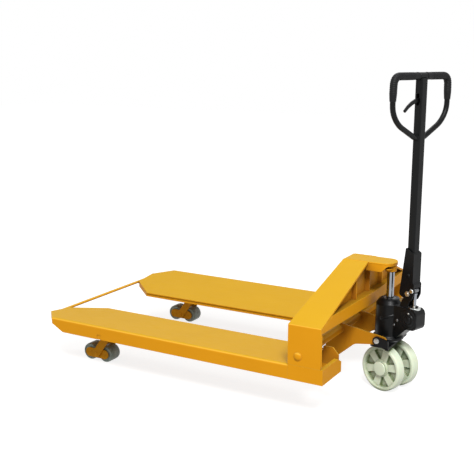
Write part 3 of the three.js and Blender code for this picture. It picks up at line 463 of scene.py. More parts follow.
def orangeEnamel(name, openFaceShade, paintedShade):
    # semi-gloss enamel sprayed on welded plate: deep orange on upright faces, and painted light on faces that look up,
    # which turn yellower as the top light makes them look; soft orange peel; paler edges, partly paint worn thin and
    # partly painted highlight; a painted highlight along the bends; painted shade in brown where corners close in;
    # short scuffs;
    # the first share is the painted shade on open faces, the second the painted shade in corners
    look = {
        "upright": "#E69D18", "uprightDeep": "#DF9615", "top": "#D4A31C", "topDeep": "#CD9C18",
        "edge": "#F3C04A", "shadeBrown": "#714019", "scuff": "#C4821E", "peel": 2.6, "patch": 170, "scuffLength": 46,
    }
    material, tree, shader, coords = startMaterial(name, {
        "Roughness": 0.5, "IOR": 1.5, "Specular IOR Level": 0.08,
    })
    patch = addNode(tree, "ShaderNodeTexNoise", {"Scale": perMetre(look["patch"]), "Detail": 3.0}, {"Vector": coords})
    upright = addNode(tree, "ShaderNodeMix", {
        "data_type": "RGBA", colourA: linear(look["uprightDeep"]), colourB: linear(look["upright"]),
    }, {0: patch.outputs["Fac"]})
    level = addNode(tree, "ShaderNodeMix", {
        "data_type": "RGBA", colourA: linear(look["topDeep"]), colourB: linear(look["top"]),
    }, {0: patch.outputs["Fac"]})
    flat = addNode(tree, "ShaderNodeNewGeometry")
    facing = addNode(tree, "ShaderNodeSeparateXYZ", links={0: flat.outputs["Normal"]})
    # painted light: the more a face looks up, the more it takes the yellower top colour that the top light gives
    paintedTopLight = addNode(tree, "ShaderNodeMapRange", {"From Min": 0.3, "From Max": 0.93}, {"Value": facing.outputs["Z"]})
    body = addNode(tree, "ShaderNodeMix", {"data_type": "RGBA"}, {
        0: paintedTopLight.outputs["Result"], colourA: upright.outputs[mixedColour], colourB: level.outputs[mixedColour],
    })
    stretch = addNode(tree, "ShaderNodeMapping", {"Scale": (1, 6, 6)}, {"Vector": coords})
    scuff = addNode(tree, "ShaderNodeTexNoise", {
        "Scale": perMetre(look["scuffLength"]), "Detail": 6.0, "Roughness": 0.62,
    }, {"Vector": stretch.outputs["Vector"]})
    scuffMask = addNode(tree, "ShaderNodeMapRange", {"From Min": 0.68, "From Max": 0.76, "To Max": 0.5},
                        {"Value": scuff.outputs["Fac"]})
    scuffed = addNode(tree, "ShaderNodeMix", {"data_type": "RGBA", colourB: linear(look["scuff"])},
                      {0: scuffMask.outputs["Result"], colourA: body.outputs[mixedColour]})
    # paler edges, partly paint worn thin and partly a painted highlight
    rounded = addNode(tree, "ShaderNodeBevel", {"samples": 4, "Radius": 2.2 * milli})
    bent = addNode(tree, "ShaderNodeVectorMath", {"operation": "DOT_PRODUCT"},
                   {0: rounded.outputs["Normal"], 1: flat.outputs["Normal"]})
    edgeMask = addNode(tree, "ShaderNodeMapRange", {"From Min": 0.97, "From Max": 0.8, "To Max": 0.6},
                       {"Value": bent.outputs["Value"]})
    # painted highlight: a pale line along the bends, where faces lean partway between upright and flat
    lean = addNode(tree, "ShaderNodeMath", {"operation": "SUBTRACT", 1: 0.6}, {0: facing.outputs["Z"]})
    turned = addNode(tree, "ShaderNodeMath", {"operation": "ABSOLUTE"}, {0: lean.outputs[0]})
    paintedBendHighlight = addNode(tree, "ShaderNodeMapRange", {"From Min": 0.28, "From Max": 0.1, "To Max": 0.6},
                       {"Value": turned.outputs[0]})
    paleEdges = addNode(tree, "ShaderNodeMath", {"operation": "MAXIMUM"},
                     {0: edgeMask.outputs["Result"], 1: paintedBendHighlight.outputs["Result"]})
    edged = addNode(tree, "ShaderNodeMix", {"data_type": "RGBA", colourB: linear(look["edge"])},
                    {0: paleEdges.outputs[0], colourA: scuffed.outputs[mixedColour]})
    # painted shade: brown laid in where corners close in within 130 mm, and on open faces by the first share
    corner = addNode(tree, "ShaderNodeAmbientOcclusion", {"samples": 8, "Distance": 130 * milli})
    cornerMask = addNode(tree, "ShaderNodeMapRange", {
        "From Min": 0.88, "From Max": 0.35, "To Min": openFaceShade, "To Max": paintedShade,
    }, {"Value": corner.outputs["AO"]})
    dustAndShade = addNode(tree, "ShaderNodeMix", {"data_type": "RGBA", colourB: linear(look["shadeBrown"])},
                    {0: cornerMask.outputs["Result"], colourA: edged.outputs[mixedColour]})
    tree.links.new(dustAndShade.outputs[mixedColour], shader.inputs["Base Color"])
    gloss = addNode(tree, "ShaderNodeMapRange", {"From Min": 0.3, "From Max": 0.8, "To Min": 0.46, "To Max": 0.58},
                    {"Value": scuff.outputs["Fac"]})
    tree.links.new(gloss.outputs["Result"], shader.inputs["Roughness"])
    peel = addNode(tree, "ShaderNodeTexNoise", {"Scale": perMetre(look["peel"]), "Detail": 2.0}, {"Vector": coords})
    bump = addNode(tree, "ShaderNodeBump", {"Strength": 0.12, "Distance": 0.15 * milli}, {"Height": peel.outputs["Fac"]})
    tree.links.new(bump.outputs["Normal"], shader.inputs["Normal"])
    return material


def blackCasting():
    # black enamel on sand-cast iron: dull black over a grainy skin, with grey dust where parts meet
    look = {"skin": "#080909", "worn": "#0F1011", "dust": "#1C1C1B", "grain": 2.2, "lump": 14}
    material, tree, shader, coords = startMaterial("blackEnamelOnCastIron", {
        "Roughness": 0.34, "IOR": 1.5, "Specular IOR Level": 0.16,
    })
    lump = addNode(tree, "ShaderNodeTexNoise", {"Scale": perMetre(look["lump"]), "Detail": 4.0}, {"Vector": coords})
    body = addNode(tree, "ShaderNodeMix", {"data_type": "RGBA", colourA: linear(look["skin"]), colourB: linear(look["worn"])},
                   {0: lump.outputs["Fac"]})
    corner = addNode(tree, "ShaderNodeAmbientOcclusion", {"samples": 6, "Distance": 10 * milli})
    cornerMask = addNode(tree, "ShaderNodeMapRange", {"From Min": 0.6, "From Max": 0.15, "To Max": 0.35},
                         {"Value": corner.outputs["AO"]})
    dustAndShade = addNode(tree, "ShaderNodeMix", {"data_type": "RGBA", colourB: linear(look["dust"])},
                    {0: cornerMask.outputs["Result"], colourA: body.outputs[mixedColour]})
    tree.links.new(dustAndShade.outputs[mixedColour], shader.inputs["Base Color"])
    grain = addNode(tree, "ShaderNodeTexNoise", {"Scale": perMetre(look["grain"]), "Detail": 5.0, "Roughness": 0.6},
                    {"Vector": coords})
    bump = addNode(tree, "ShaderNodeBump", {"Strength": 0.45, "Distance": 0.4 * milli}, {"Height": grain.outputs["Fac"]})
    tree.links.new(bump.outputs["Normal"], shader.inputs["Normal"])
    return material


def blackPowderCoat():
    # powder coat on steel plate and tube: smooth satin black, fine even texture, rubbed grey at the edges
    look = {"coat": "#0A0B0C", "paleEdges": "#202225", "texture": 1.6, "cloud": 60}
    material, tree, shader, coords = startMaterial("blackPowderCoatOnSteel", {
        "Roughness": 0.4, "IOR": 1.5, "Specular IOR Level": 0.16,
    })
    rounded = addNode(tree, "ShaderNodeBevel", {"samples": 4, "Radius": 1.2 * milli})
    flat = addNode(tree, "ShaderNodeNewGeometry")
    bent = addNode(tree, "ShaderNodeVectorMath", {"operation": "DOT_PRODUCT"},
                   {0: rounded.outputs["Normal"], 1: flat.outputs["Normal"]})
    edgeMask = addNode(tree, "ShaderNodeMapRange", {"From Min": 0.96, "From Max": 0.75, "To Max": 0.45},
                       {"Value": bent.outputs["Value"]})
    body = addNode(tree, "ShaderNodeMix", {"data_type": "RGBA", colourA: linear(look["coat"]), colourB: linear(look["paleEdges"])},
                   {0: edgeMask.outputs["Result"]})
    tree.links.new(body.outputs[mixedColour], shader.inputs["Base Color"])
    cloud = addNode(tree, "ShaderNodeTexNoise", {"Scale": perMetre(look["cloud"]), "Detail": 4.0}, {"Vector": coords})
    gloss = addNode(tree, "ShaderNodeMapRange", {"From Min": 0.3, "From Max": 0.7, "To Min": 0.33, "To Max": 0.47},
                    {"Value": cloud.outputs["Fac"]})
    tree.links.new(gloss.outputs["Result"], shader.inputs["Roughness"])
    texture = addNode(tree, "ShaderNodeTexNoise", {"Scale": perMetre(look["texture"]), "Detail": 2.0}, {"Vector": coords})
    bump = addNode(tree, "ShaderNodeBump", {"Strength": 0.16, "Distance": 0.15 * milli}, {"Height": texture.outputs["Fac"]})
    tree.links.new(bump.outputs["Normal"], shader.inputs["Normal"])
    return material


def plainMetal(name, look):
    # shared build of the bare metals: a tinted base, drawn-out tool marks and a cloudy gloss
    material, tree, shader, coords = startMaterial(name, {"Metallic": 1.0})
    cloud = addNode(tree, "ShaderNodeTexNoise", {"Scale": perMetre(look["cloud"]), "Detail": 4.0}, {"Vector": coords})
    body = addNode(tree, "ShaderNodeMix", {"data_type": "RGBA", colourA: linear(look["low"]), colourB: linear(look["high"])},
                   {0: cloud.outputs["Fac"]})
    tree.links.new(body.outputs[mixedColour], shader.inputs["Base Color"])
    gloss = addNode(tree, "ShaderNodeMapRange", {
        "From Min": 0.3, "From Max": 0.7, "To Min": look["smooth"], "To Max": look["rough"],
    }, {"Value": cloud.outputs["Fac"]})
    tree.links.new(gloss.outputs["Result"], shader.inputs["Roughness"])
    drawn = addNode(tree, "ShaderNodeMapping", {"Scale": look["stretch"]}, {"Vector": coords})
    marks = addNode(tree, "ShaderNodeTexNoise", {"Scale": perMetre(look["mark"]), "Detail": 3.0},
                    {"Vector": drawn.outputs["Vector"]})
    bump = addNode(tree, "ShaderNodeBump", {"Strength": look["relief"], "Distance": 0.05 * milli},
                   {"Height": marks.outputs["Fac"]})
    tree.links.new(bump.outputs["Normal"], shader.inputs["Normal"])
    return material


def hardChrome():
    # ground and chromed bar: mirror bright, with faint rings from the grinding wheel
    # the rings are drawn coarser than real ones, which would not show
    return plainMetal("groundHardChrome", {
        "low": "#7C8086", "high": "#9DA1A7", "cloud": 40, "smooth": 0.08, "rough": 0.16,
        "stretch": (1, 1, 12), "mark": 8, "relief": 0.25,
    })


def brightZinc():
    # zinc plated fasteners: pale grey with a slight blue and straw cast
    return plainMetal("brightZincPlate", {
        "low": "#AEB3B5", "high": "#D3D4CE", "cloud": 9, "smooth": 0.22, "rough": 0.36,
        "stretch": (3, 3, 3), "mark": 3, "relief": 0.3,
    })


def oiledSteel():
    # bare rolled or turned steel with a film of oil: darker grey, smeared gloss
    return plainMetal("oiledBareSteel", {
        "low": "#5E6062", "high": "#8F9193", "cloud": 22, "smooth": 0.28, "rough": 0.48,
        "stretch": (1, 9, 9), "mark": 10, "relief": 0.35,
    })


def castNylon():
    # cast nylon wheel, turned on a lathe: milky green-white, satin, slightly see-through at thin edges
    look = {"pale": "#E7F0D8", "shade": "#DCE6C8", "paintedShade": "#5F6F42", "cloud": 45, "tool": 1.8}
    material, tree, shader, coords = startMaterial("turnedCastNylon", {
        "Roughness": 0.4, "IOR": 1.53, "Subsurface Weight": 0.05, "Subsurface Scale": 0.004,
    })
    cloud = addNode(tree, "ShaderNodeTexNoise", {"Scale": perMetre(look["cloud"]), "Detail": 4.0}, {"Vector": coords})
    body = addNode(tree, "ShaderNodeMix", {"data_type": "RGBA", colourA: linear(look["shade"]), colourB: linear(look["pale"])},
                   {0: cloud.outputs["Fac"]})
    # painted shade: darker green laid into the dished pockets and other corners that close in
    corner = addNode(tree, "ShaderNodeAmbientOcclusion", {"samples": 6, "Distance": 34 * milli})
    cornerMask = addNode(tree, "ShaderNodeMapRange", {"From Min": 0.9, "From Max": 0.52, "To Max": 1.0},
                         {"Value": corner.outputs["AO"]})
    paintedPocketShade = addNode(tree, "ShaderNodeMix", {"data_type": "RGBA", colourB: linear(look["paintedShade"])},
                    {0: cornerMask.outputs["Result"], colourA: body.outputs[mixedColour]})
    tree.links.new(paintedPocketShade.outputs[mixedColour], shader.inputs["Base Color"])
    tool = addNode(tree, "ShaderNodeTexNoise", {"Scale": perMetre(look["tool"]), "Detail": 2.0}, {"Vector": coords})
    bump = addNode(tree, "ShaderNodeBump", {"Strength": 0.15, "Distance": 0.12 * milli}, {"Height": tool.outputs["Fac"]})
    tree.links.new(bump.outputs["Normal"], shader.inputs["Normal"])
    return material


def mouldedNylon():
    # moulded grey-green nylon rollers: satin, with a scuffed and dusty tread
    look = {"body": "#87958A", "scuffed": "#AFBAAF", "cloud": 16, "scratch": 5}
    material, tree, shader, coords = startMaterial("mouldedGreyNylon", {"Roughness": 0.45, "IOR": 1.53})
    cloud = addNode(tree, "ShaderNodeTexNoise", {"Scale": perMetre(look["cloud"]), "Detail": 5.0, "Roughness": 0.6},
                    {"Vector": coords})
    mask = addNode(tree, "ShaderNodeMapRange", {"From Min": 0.42, "From Max": 0.72}, {"Value": cloud.outputs["Fac"]})
    body = addNode(tree, "ShaderNodeMix", {"data_type": "RGBA", colourA: linear(look["body"]), colourB: linear(look["scuffed"])},
                   {0: mask.outputs["Result"]})
    tree.links.new(body.outputs[mixedColour], shader.inputs["Base Color"])
    scratch = addNode(tree, "ShaderNodeTexNoise", {"Scale": perMetre(look["scratch"]), "Detail": 3.0}, {"Vector": coords})
    bump = addNode(tree, "ShaderNodeBump", {"Strength": 0.2, "Distance": 0.2 * milli}, {"Height": scratch.outputs["Fac"]})
    tree.links.new(bump.outputs["Normal"], shader.inputs["Normal"])
    return material


def gripRubber():
    # dipped and moulded soft grip: deep black, dull, with a fine pebbled skin
    look = {"skin": "#0A0A0B", "worn": "#121315", "pebble": 1.4, "cloud": 30}
    material, tree, shader, coords = startMaterial("mouldedBlackRubber", {
        "Roughness": 0.55, "IOR": 1.52, "Specular IOR Level": 0.2,
    })
    cloud = addNode(tree, "ShaderNodeTexNoise", {"Scale": perMetre(look["cloud"]), "Detail": 3.0}, {"Vector": coords})
    body = addNode(tree, "ShaderNodeMix", {"data_type": "RGBA", colourA: linear(look["skin"]), colourB: linear(look["worn"])},
                   {0: cloud.outputs["Fac"]})
    tree.links.new(body.outputs[mixedColour], shader.inputs["Base Color"])
    pebble = addNode(tree, "ShaderNodeTexVoronoi", {"Scale": perMetre(look["pebble"])}, {"Vector": coords})
    bump = addNode(tree, "ShaderNodeBump", {"Strength": 0.25, "Distance": 0.15 * milli}, {"Height": pebble.outputs["Distance"]})
    tree.links.new(bump.outputs["Normal"], shader.inputs["Normal"])
    return material


finishes = {
    "orange": (orangeEnamel("orangeEnamelOnSteel", 0, 0.7), "orange_paint"),
    # a copy with little painted shade in corners, for the roller arms and bogie that sit in real shadow under the
    # forks
    "orangeLessShaded": (orangeEnamel("orangeEnamelWithLessPaintedShade", 0, 0.12), "orange_paint"),
    # a copy with painted shade on its open faces too and deeper in corners, for the parts in shade under the portal
    "orangeShaded": (orangeEnamel("orangeEnamelWithMorePaintedShade", 0.34, 0.86), "orange_paint"),
    "casting": (blackCasting(), "black_paint"),
    "black": (blackPowderCoat(), "black_paint"),
    "chrome": (hardChrome(), "chromed_steel"),
    "zinc": (brightZinc(), "zinc_steel"),
    "steel": (oiledSteel(), "bare_steel"),
    "nylon": (castNylon(), "pale_nylon"),
    "roller": (mouldedNylon(), "grey_nylon"),
    "rubber": (gripRubber(), "black_rubber"),
}
print("materials made")

# Forks

forkSizes = {
    "halfWidth": 468, "innerEdge": 148, "length": 1180, "outerTop": 200, "fall": 36, "width": 320,
    "plate": 5, "wallBottom": 143, "bend": 9, "lip": 7,
    "outerCorner": (-1095, -468), "noseOuter": (-1180, -378), "noseInner": (-1180, -263),
    "innerCorner": (-1050, -148), "notchX": -850, "notchWidth": 20, "notchHeight": 20,
    "riseStart": -1040, "noseHeight": 27,
}


def deckTop(y):
    return forkSizes["outerTop"] - forkSizes["fall"] * (forkSizes["halfWidth"] - abs(y)) / forkSizes["width"]


def noseBottom(x, y):
    # the lower edge sweeps up before the corner and then follows the deck round the nose
    s = forkSizes
    share = min(1, max(0, (s["riseStart"] - x) / (s["riseStart"] - s["outerCorner"][0])))
    return s["wallBottom"] + share * max(0, deckTop(y) - s["noseHeight"] - s["wallBottom"])


def forkShell():
    # deck and outer wall are one bent plate, with its tip corners cut off
    s = forkSizes
    outer = roundCorners(
        [(-s["halfWidth"], s["wallBottom"]), (-s["halfWidth"], s["outerTop"]), (-s["innerEdge"], deckTop(s["innerEdge"]))],
        s["bend"], steps=8, openEnds=True,
    )
    shape = prism("x", bandPoints(outer, -s["plate"]), -s["length"], 0)
    for first, second in (("outerCorner", "noseOuter"), ("noseInner", "innerCorner")):
        a, b = Vector(s[first]), Vector(s[second])
        along = b - a
        outward = Vector((along.y, -along.x, 0))
        if outward.x > 0:
            outward.negate()
        shape = sliceShape(shape, (a.x, a.y, 0), outward.normalized())
    half = s["notchWidth"] / 2
    bite = roundCorners(
        boxPoints(s["notchX"] - half, s["notchX"] + half, s["wallBottom"] - 10, s["wallBottom"] + s["notchHeight"]),
        [0, 0, 3, 3], steps=4,
    )
    cut = prism("y", bite, -s["halfWidth"] - 4, -s["halfWidth"] + 2.4)
    start, corner = s["riseStart"], s["outerCorner"][0] - 6
    rise = noseBottom(s["outerCorner"][0], s["halfWidth"])
    under = [(start + 0.5, s["wallBottom"] - 0.3), (corner, s["wallBottom"] - 4), (corner, rise + 3.3)]
    sweep = prism("y", under, -s["halfWidth"] - 4, -s["halfWidth"] + s["plate"] + 4)
    makePair("fork_shell", shape, "orange", "frame", ("fork_deck", "fork_outer_wall"), bevel=0.9, cuts=[cut, sweep])


def noseBand():
    # one strip round the nose that runs back as the inner wall
    s = forkSizes
    lipX = s["innerCorner"][0] - s["lip"] * 130 / 115
    path = [s["outerCorner"], s["noseOuter"], s["noseInner"], (lipX, -s["innerEdge"] - s["lip"]), (0, -s["innerEdge"] - s["lip"])]
    plan = bandPoints(roundCorners(path, 14, steps=5, openEnds=True), -s["plate"])

    def top(x, y):
        return deckTop(y) - s["plate"] + 0.2

    makePair("nose_band", prism("z", plan, noseBottom, top), "orange", "frame", ("fork_inner_wall",), bevel=0.8)


def heelGusset():
    # plate that stands on the heel's inner wall and ties it to the riser
    face = [(4, 166), (128, 166), (128, 206), (104, 232), (66, 232), (66, 212), (4, 212)]
    shape = prism("y", roundCorners(face, [0, 0, 4, 6, 4, 6, 0], 4), -306, -300.5)
    makePair("heel_gusset", shape, "orangeShaded", "frame", bevel=0.8)


def tieRod():
    # round bar across both noses with a blob of weld at each end
    rod = {"x": -1186.3, "z": 172, "radius": 6, "reach": 335}
    bar = barShape("y", (rod["x"], rod["z"]), rod["radius"], -rod["reach"], rod["reach"], 1.5)
    blobs = []
    for side in (-1, 1):
        for place in (rod["reach"] - 6, 300, 270):
            y = side * place
            blobs.append(weldShape((rod["x"] + 5.5, y - 9, rod["z"] - 5), (rod["x"] + 5.5, y + 9, rod["z"] - 5), 3))
    makePiece("tie_rod", joinShapes(bar, *blobs), "orange", "frame", ["tip_tie_rod"])


forkShell()
noseBand()
heelGusset()
tieRod()
dressPair("fork_heel", "orange", 1.0)
dressPair("arm_hanger", "orange", 0.8)
print("forks made")

# Portal

portal = {
    "halfWidth": 468, "plate": 8, "foot": 200.3, "knee": 349, "headHalf": 50, "headTop": 504,
    "footX": (0, 128), "headX": (30, 132), "bend": 5,
}


def portalPlate():
    # riser and inclined strip are one plate bent at the knee, narrowing toward the head
    s = portal
    path = [(-s["halfWidth"], s["foot"]), (-s["halfWidth"], s["knee"]), (-s["headHalf"] - 0.3, s["headTop"])]
    outer = roundCorners(path, s["bend"], steps=8, openEnds=True)
    both = bandPoints(outer, -s["plate"])
    inner = both[len(outer):][::-1]
    rings = []
    for (y, z), (innerY, innerZ) in zip(outer, inner):
        share = max(0, (s["halfWidth"] + y) / (s["halfWidth"] - s["headHalf"]))
        front = s["footX"][0] + (s["headX"][0] - s["footX"][0]) * share
        rear = s["footX"][1] + (s["headX"][1] - s["footX"][1]) * share
        rings.append([(front, y, z), (rear, y, z), (rear, innerY, innerZ), (front, innerY, innerZ)])
    makePair("portal_plate", skin(rings), "orange", "frame", ("riser_plate", "portal_strip"), bevel=1.2)


def headCap():
    # top plate with a blunt round nose over the ram, a skirt that rises round the nose, the ram seat
    # and the thin lip plate below it
    s = {
        "top": 504, "plate": 8, "half": 50, "front": 30, "centre": 190, "noseLength": 40, "cheekStart": 122,
        "cheekBottom": 469, "noseBottom": 491, "skirtPlate": 8, "riseFrom": 182, "riseTo": 212, "lip": (476, 480.5),
    }
    reach = (s["noseLength"], s["half"])

    def noseEdge(share):
        rounded = arcPoints((0, 0), 1, -math.pi / 2, math.pi / 2, 40)
        return [(s["centre"] + u * reach[0] * share, v * reach[1] * share) for u, v in rounded]

    nose = noseEdge(1)
    plan = [(s["front"], -s["half"]), *nose, (s["front"], s["half"])]
    top = prism("z", plan, s["top"] - s["plate"], s["top"])
    sides = 14
    straight = [s["cheekStart"] + (s["centre"] - s["cheekStart"]) * i / sides for i in range(sides)]
    edge = [(x, -s["half"]) for x in straight] + nose + [(x, s["half"]) for x in straight[::-1]]
    wall = bandPoints(edge, s["skirtPlate"])
    size = len(edge)

    def bottom(x):
        share = min(1, max(0, (x - s["riseFrom"]) / (s["riseTo"] - s["riseFrom"])))
        share = share * share * (3 - 2 * share)
        return s["cheekBottom"] + (s["noseBottom"] - s["cheekBottom"]) * share

    rings = []
    for i in range(size):
        (x, y), (innerX, innerY) = wall[i], wall[2 * size - 1 - i]
        low, high = bottom(x), s["top"] - s["plate"] / 2
        rings.append([(x, y, low), (x, y, high), (innerX, innerY, high), (innerX, innerY, low)])
    skirt = skin(rings)
    seat = lathe("z", [(0, 466), (20, 466), (22, 468), (22, 500), (0, 500)], (207, 0))
    lip = prism("z", [(176, -30), *noseEdge(0.88)[6:-6], (176, 30)], *s["lip"])
    makePiece("head_plate", top, "orange", "frame", ["head_cap"], bevel=2.2)
    makePiece("head_skirt", skirt, "orange", "frame", bevel=1.2)
    makePiece("ram_seat", seat, "orange", "frame")
    makePiece("lip_plate", lip, "orange", "frame", bevel=0.8)


def shaftHeads():
    # domed ends of the pins that the torsion tube turns on
    face = -portal["halfWidth"]
    profile = [
        (0, face - 7), (6, face - 6.6), (10.5, face - 5.4), (13.5, face - 3.4), (15, face - 0.3),
        (11, face - 0.3), (11, face + 54), (0, face + 54),
    ]
    head = lathe("y", profile, (40, 235))
    seam = weldRing("y", (40, 235), 15, face - 0.4, 1.6)
    makePair("shaft_pin", joinShapes(head, seam), "orange", "frame", ("torsion_pin",))


def portalWelds():
    # beads where the ribs, the beam and the strips meet, and down the riser's foot
    runs = [
        ((4, -461, 202), (126, -461, 202), 3.4),
        ((128.5, -464, 206), (128.5, -464, 330), 2.4),
        ((32, -50.6, 503), (131, -50.6, 503), 2.2),
    ]
    beads = joinShapes(*[weldShape(a, b, size) for a, b, size in runs])
    makePair("portal_weld", beads, "orange", "frame")


portalPlate()
headCap()
shaftHeads()
portalWelds()
dressNode("portal_web", "orange", 0.8)
dressNode("portal_beam", "orange", 2.0)
print("portal made")

# Lifting linkage

linkage = {
    "shaft": (40, 235), "crankPin": (19.72, 168), "rollerY": -325,
    "armPivot": (-885, 127), "bogieCentre": (-948.88, 35), "leverPin": (-905.29, 162.62),
}


def twinPlates(outline, gap, thickness, holes=()):
    # the same plate either side of the roller line
    y = linkage["rollerY"]
    near = prism("y", outline, y - gap - thickness, y - gap, holes)
    far = prism("y", outline, y + gap, y + gap + thickness, holes)
    return joinShapes(near, far)


def torsionTube():
    s = {"radius": 19, "bore": 11.5, "reach": 459.2, "collar": 26, "crankEnd": 11, "gap": 8, "plate": 6, "pin": 5}
    shaft, pin, y = linkage["shaft"], linkage["crankPin"], linkage["rollerY"]
    tube = ringShape("y", s["bore"], s["radius"], -s["reach"], s["reach"], shaft)
    makePiece("torsion_tube", tube, "orange", "yoke", ["torsion_shaft"])
    cheeks = twinPlates(strapPoints(shaft, s["collar"], pin, s["crankEnd"], 24), s["gap"], s["plate"],
                        [circlePoints(shaft, s["radius"] - 0.5, 40)])
    far = s["gap"] + s["plate"]
    makePair("crank", cheeks, "orangeShaded", "yoke", bevel=0.8)
    crossPin = barShape("y", pin, s["pin"], y - far - 2, y + far + 2)
    seams = [weldRing("y", shaft, s["radius"], y + side * far, 2.4) for side in (-1, 1)]
    seams += [weldRing("y", shaft, s["radius"], level, 2.4) for level in (-100, -92)]
    makePair("crank_pin", joinShapes(crossPin, *seams), "orangeShaded", "yoke")


def yokePlate():
    # bell plate: collar round the torsion tube, a lobe below it and a slotted eye at the carriage
    shaft = linkage["shaft"]
    s = {"collar": 26, "eye": 18, "aim": math.atan2(-20, 160), "near": 160, "far": math.hypot(160, 80),
         "slot": 11.7, "level": (-100, -92)}

    def along(distance):
        return (shaft[0] + distance * math.cos(s["aim"]), shaft[1] + distance * math.sin(s["aim"]))

    near, far = along(s["near"]), along(s["far"])
    side = s["aim"] + math.pi / 2
    collar = arcPoints(shaft, s["collar"], side, math.pi, 16)
    lobe = [(-26, 128), (32, 119), (108, 185)]
    eye = arcPoints(near, s["eye"], side - math.pi, side - math.pi, 0 + 1)[:1] + arcPoints(far, s["eye"], side - math.pi, side, 22)
    outline = collar + lobe + eye
    radii = [0] * len(collar) + [12, 12, 36] + [0] * len(eye)
    slot = strapPoints(near, s["slot"], far, s["slot"], 12)
    plate = prism("y", roundCorners(outline, radii, 8), *s["level"], [slot])
    makePair("yoke_plate", plate, "orangeShaded", "yoke", ("yoke_arm",), bevel=0.9)


def rollerArm():
    s = {"radius": 17, "gap": 37, "plate": 6, "leverGap": 8, "leverEnd": 6.5, "pin": 4.5}
    pivot, bogie, lever, y = (linkage[key] for key in ("armPivot", "bogieCentre", "leverPin", "rollerY"))
    sides = twinPlates(strapPoints(pivot, s["radius"], bogie, s["radius"]), s["gap"], s["plate"])
    levers = twinPlates(strapPoints(pivot, s["radius"], lever, s["leverEnd"]), s["leverGap"], s["plate"])
    makePair("arm_plates", joinShapes(sides, levers), "orangeLessShaded", "arm_", ("roller_arm",), bevel=0.8)
    reach = s["gap"] + 0.3
    tube = ringShape("y", 7.6, s["radius"] - 0.2, y - reach, y + reach, pivot)
    pin = barShape("y", lever, s["pin"], y - 15, y + 15)
    seams = [weldRing("y", pivot, s["radius"], y + side * level, 2) for side in (-1, 1) for level in (14, 8)]
    makePair("arm_tube", joinShapes(tube, pin, *seams), "orangeLessShaded", "arm_")


def bogieAndRollers():
    s = {"spacing": 78, "end": 20, "gap": 31, "plate": 5, "axle": 8, "stub": 7, "width": 60}
    middle, y = linkage["bogieCentre"], linkage["rollerY"]
    ends = [(middle[0] - s["spacing"] / 2, middle[1]), (middle[0] + s["spacing"] / 2, middle[1])]
    plates = twinPlates(strapPoints(ends[0], s["end"], ends[1], s["end"]), s["gap"], s["plate"])
    makePair("bogie_plates", plates, "orangeLessShaded", "bogie_", ("bogie_frame",), bevel=0.9)
    far = s["gap"] + s["plate"]
    shafts = [barShape("y", end, s["axle"], y - far - 0.8, y + far + 0.8) for end in ends]
    stubs = [barShape("y", middle, s["stub"], *sorted((y + side * (far - 2), y + side * (far + 10)))) for side in (-1, 1)]
    makePair("bogie_axles", joinShapes(*shafts, *stubs), "orangeLessShaded", "bogie_")
    half = s["width"] / 2
    bore = s["axle"] + 0.5
    profile = [
        (bore, -half + 1), (14, -half + 1), (14.5, -half), (17, -half), (17.5, -half + 2.5), (27, -half + 2.5),
        (28, -half), (31.5, -half), (33.8, -half + 2.4), (34.7, -half + 6), (35, 0),
    ]
    profile += [(r, -h) for r, h in profile[-2::-1]]
    for place, name in ((ends[0], "front"), (ends[1], "rear")):
        wheel = lathe("y", [(r, h + y) for r, h in profile], place, 64, ring=True)
        makePair(f"{name}_load_roller", wheel, "roller", f"{name}_roller_", (f"{name}_roller",))


def armPins():
    pivot, y = linkage["armPivot"], linkage["rollerY"]
    far = 43 + 4 + 6
    profile = [
        (0, y - far - 4), (8.5, y - far - 4), (10, y - far - 2.8), (10, y - far - 0.3), (7, y - far - 0.3),
        (7, y + far + 3.2), (6.2, y + far + 4), (0, y + far + 4),
    ]
    makePair("arm_pin", lathe("y", profile, pivot), "zinc", "frame", ("arm_pivot_pin",))


torsionTube()
yokePlate()
rollerArm()
bogieAndRollers()
armPins()
dressPair("push_rod", "steel", 1.0)
print("linkage made")

# Ram and carriage


def ramAndGland():
    ram = [(0, 245.7), (12.5, 245.7), (14, 247.2), (14, 463.5), (12, 465.7), (0, 465.7)]
    makePiece("ram_rod", lathe("z", ram, (207, 0), 64), "chrome", "frame", ["lift_ram"])
    gland = [
        (14.6, 356.3), (23.8, 356.3), (23.8, 360), (23, 360.9), (19, 360.9), (18.4, 359.6), (16.4, 359.6), (14.6, 360.8),
    ]
    makePiece("gland_nut", lathe("z", gland, steps=64, ring=True), "steel", "steering_unit", ["ram_gland"], spot=unitSpot)


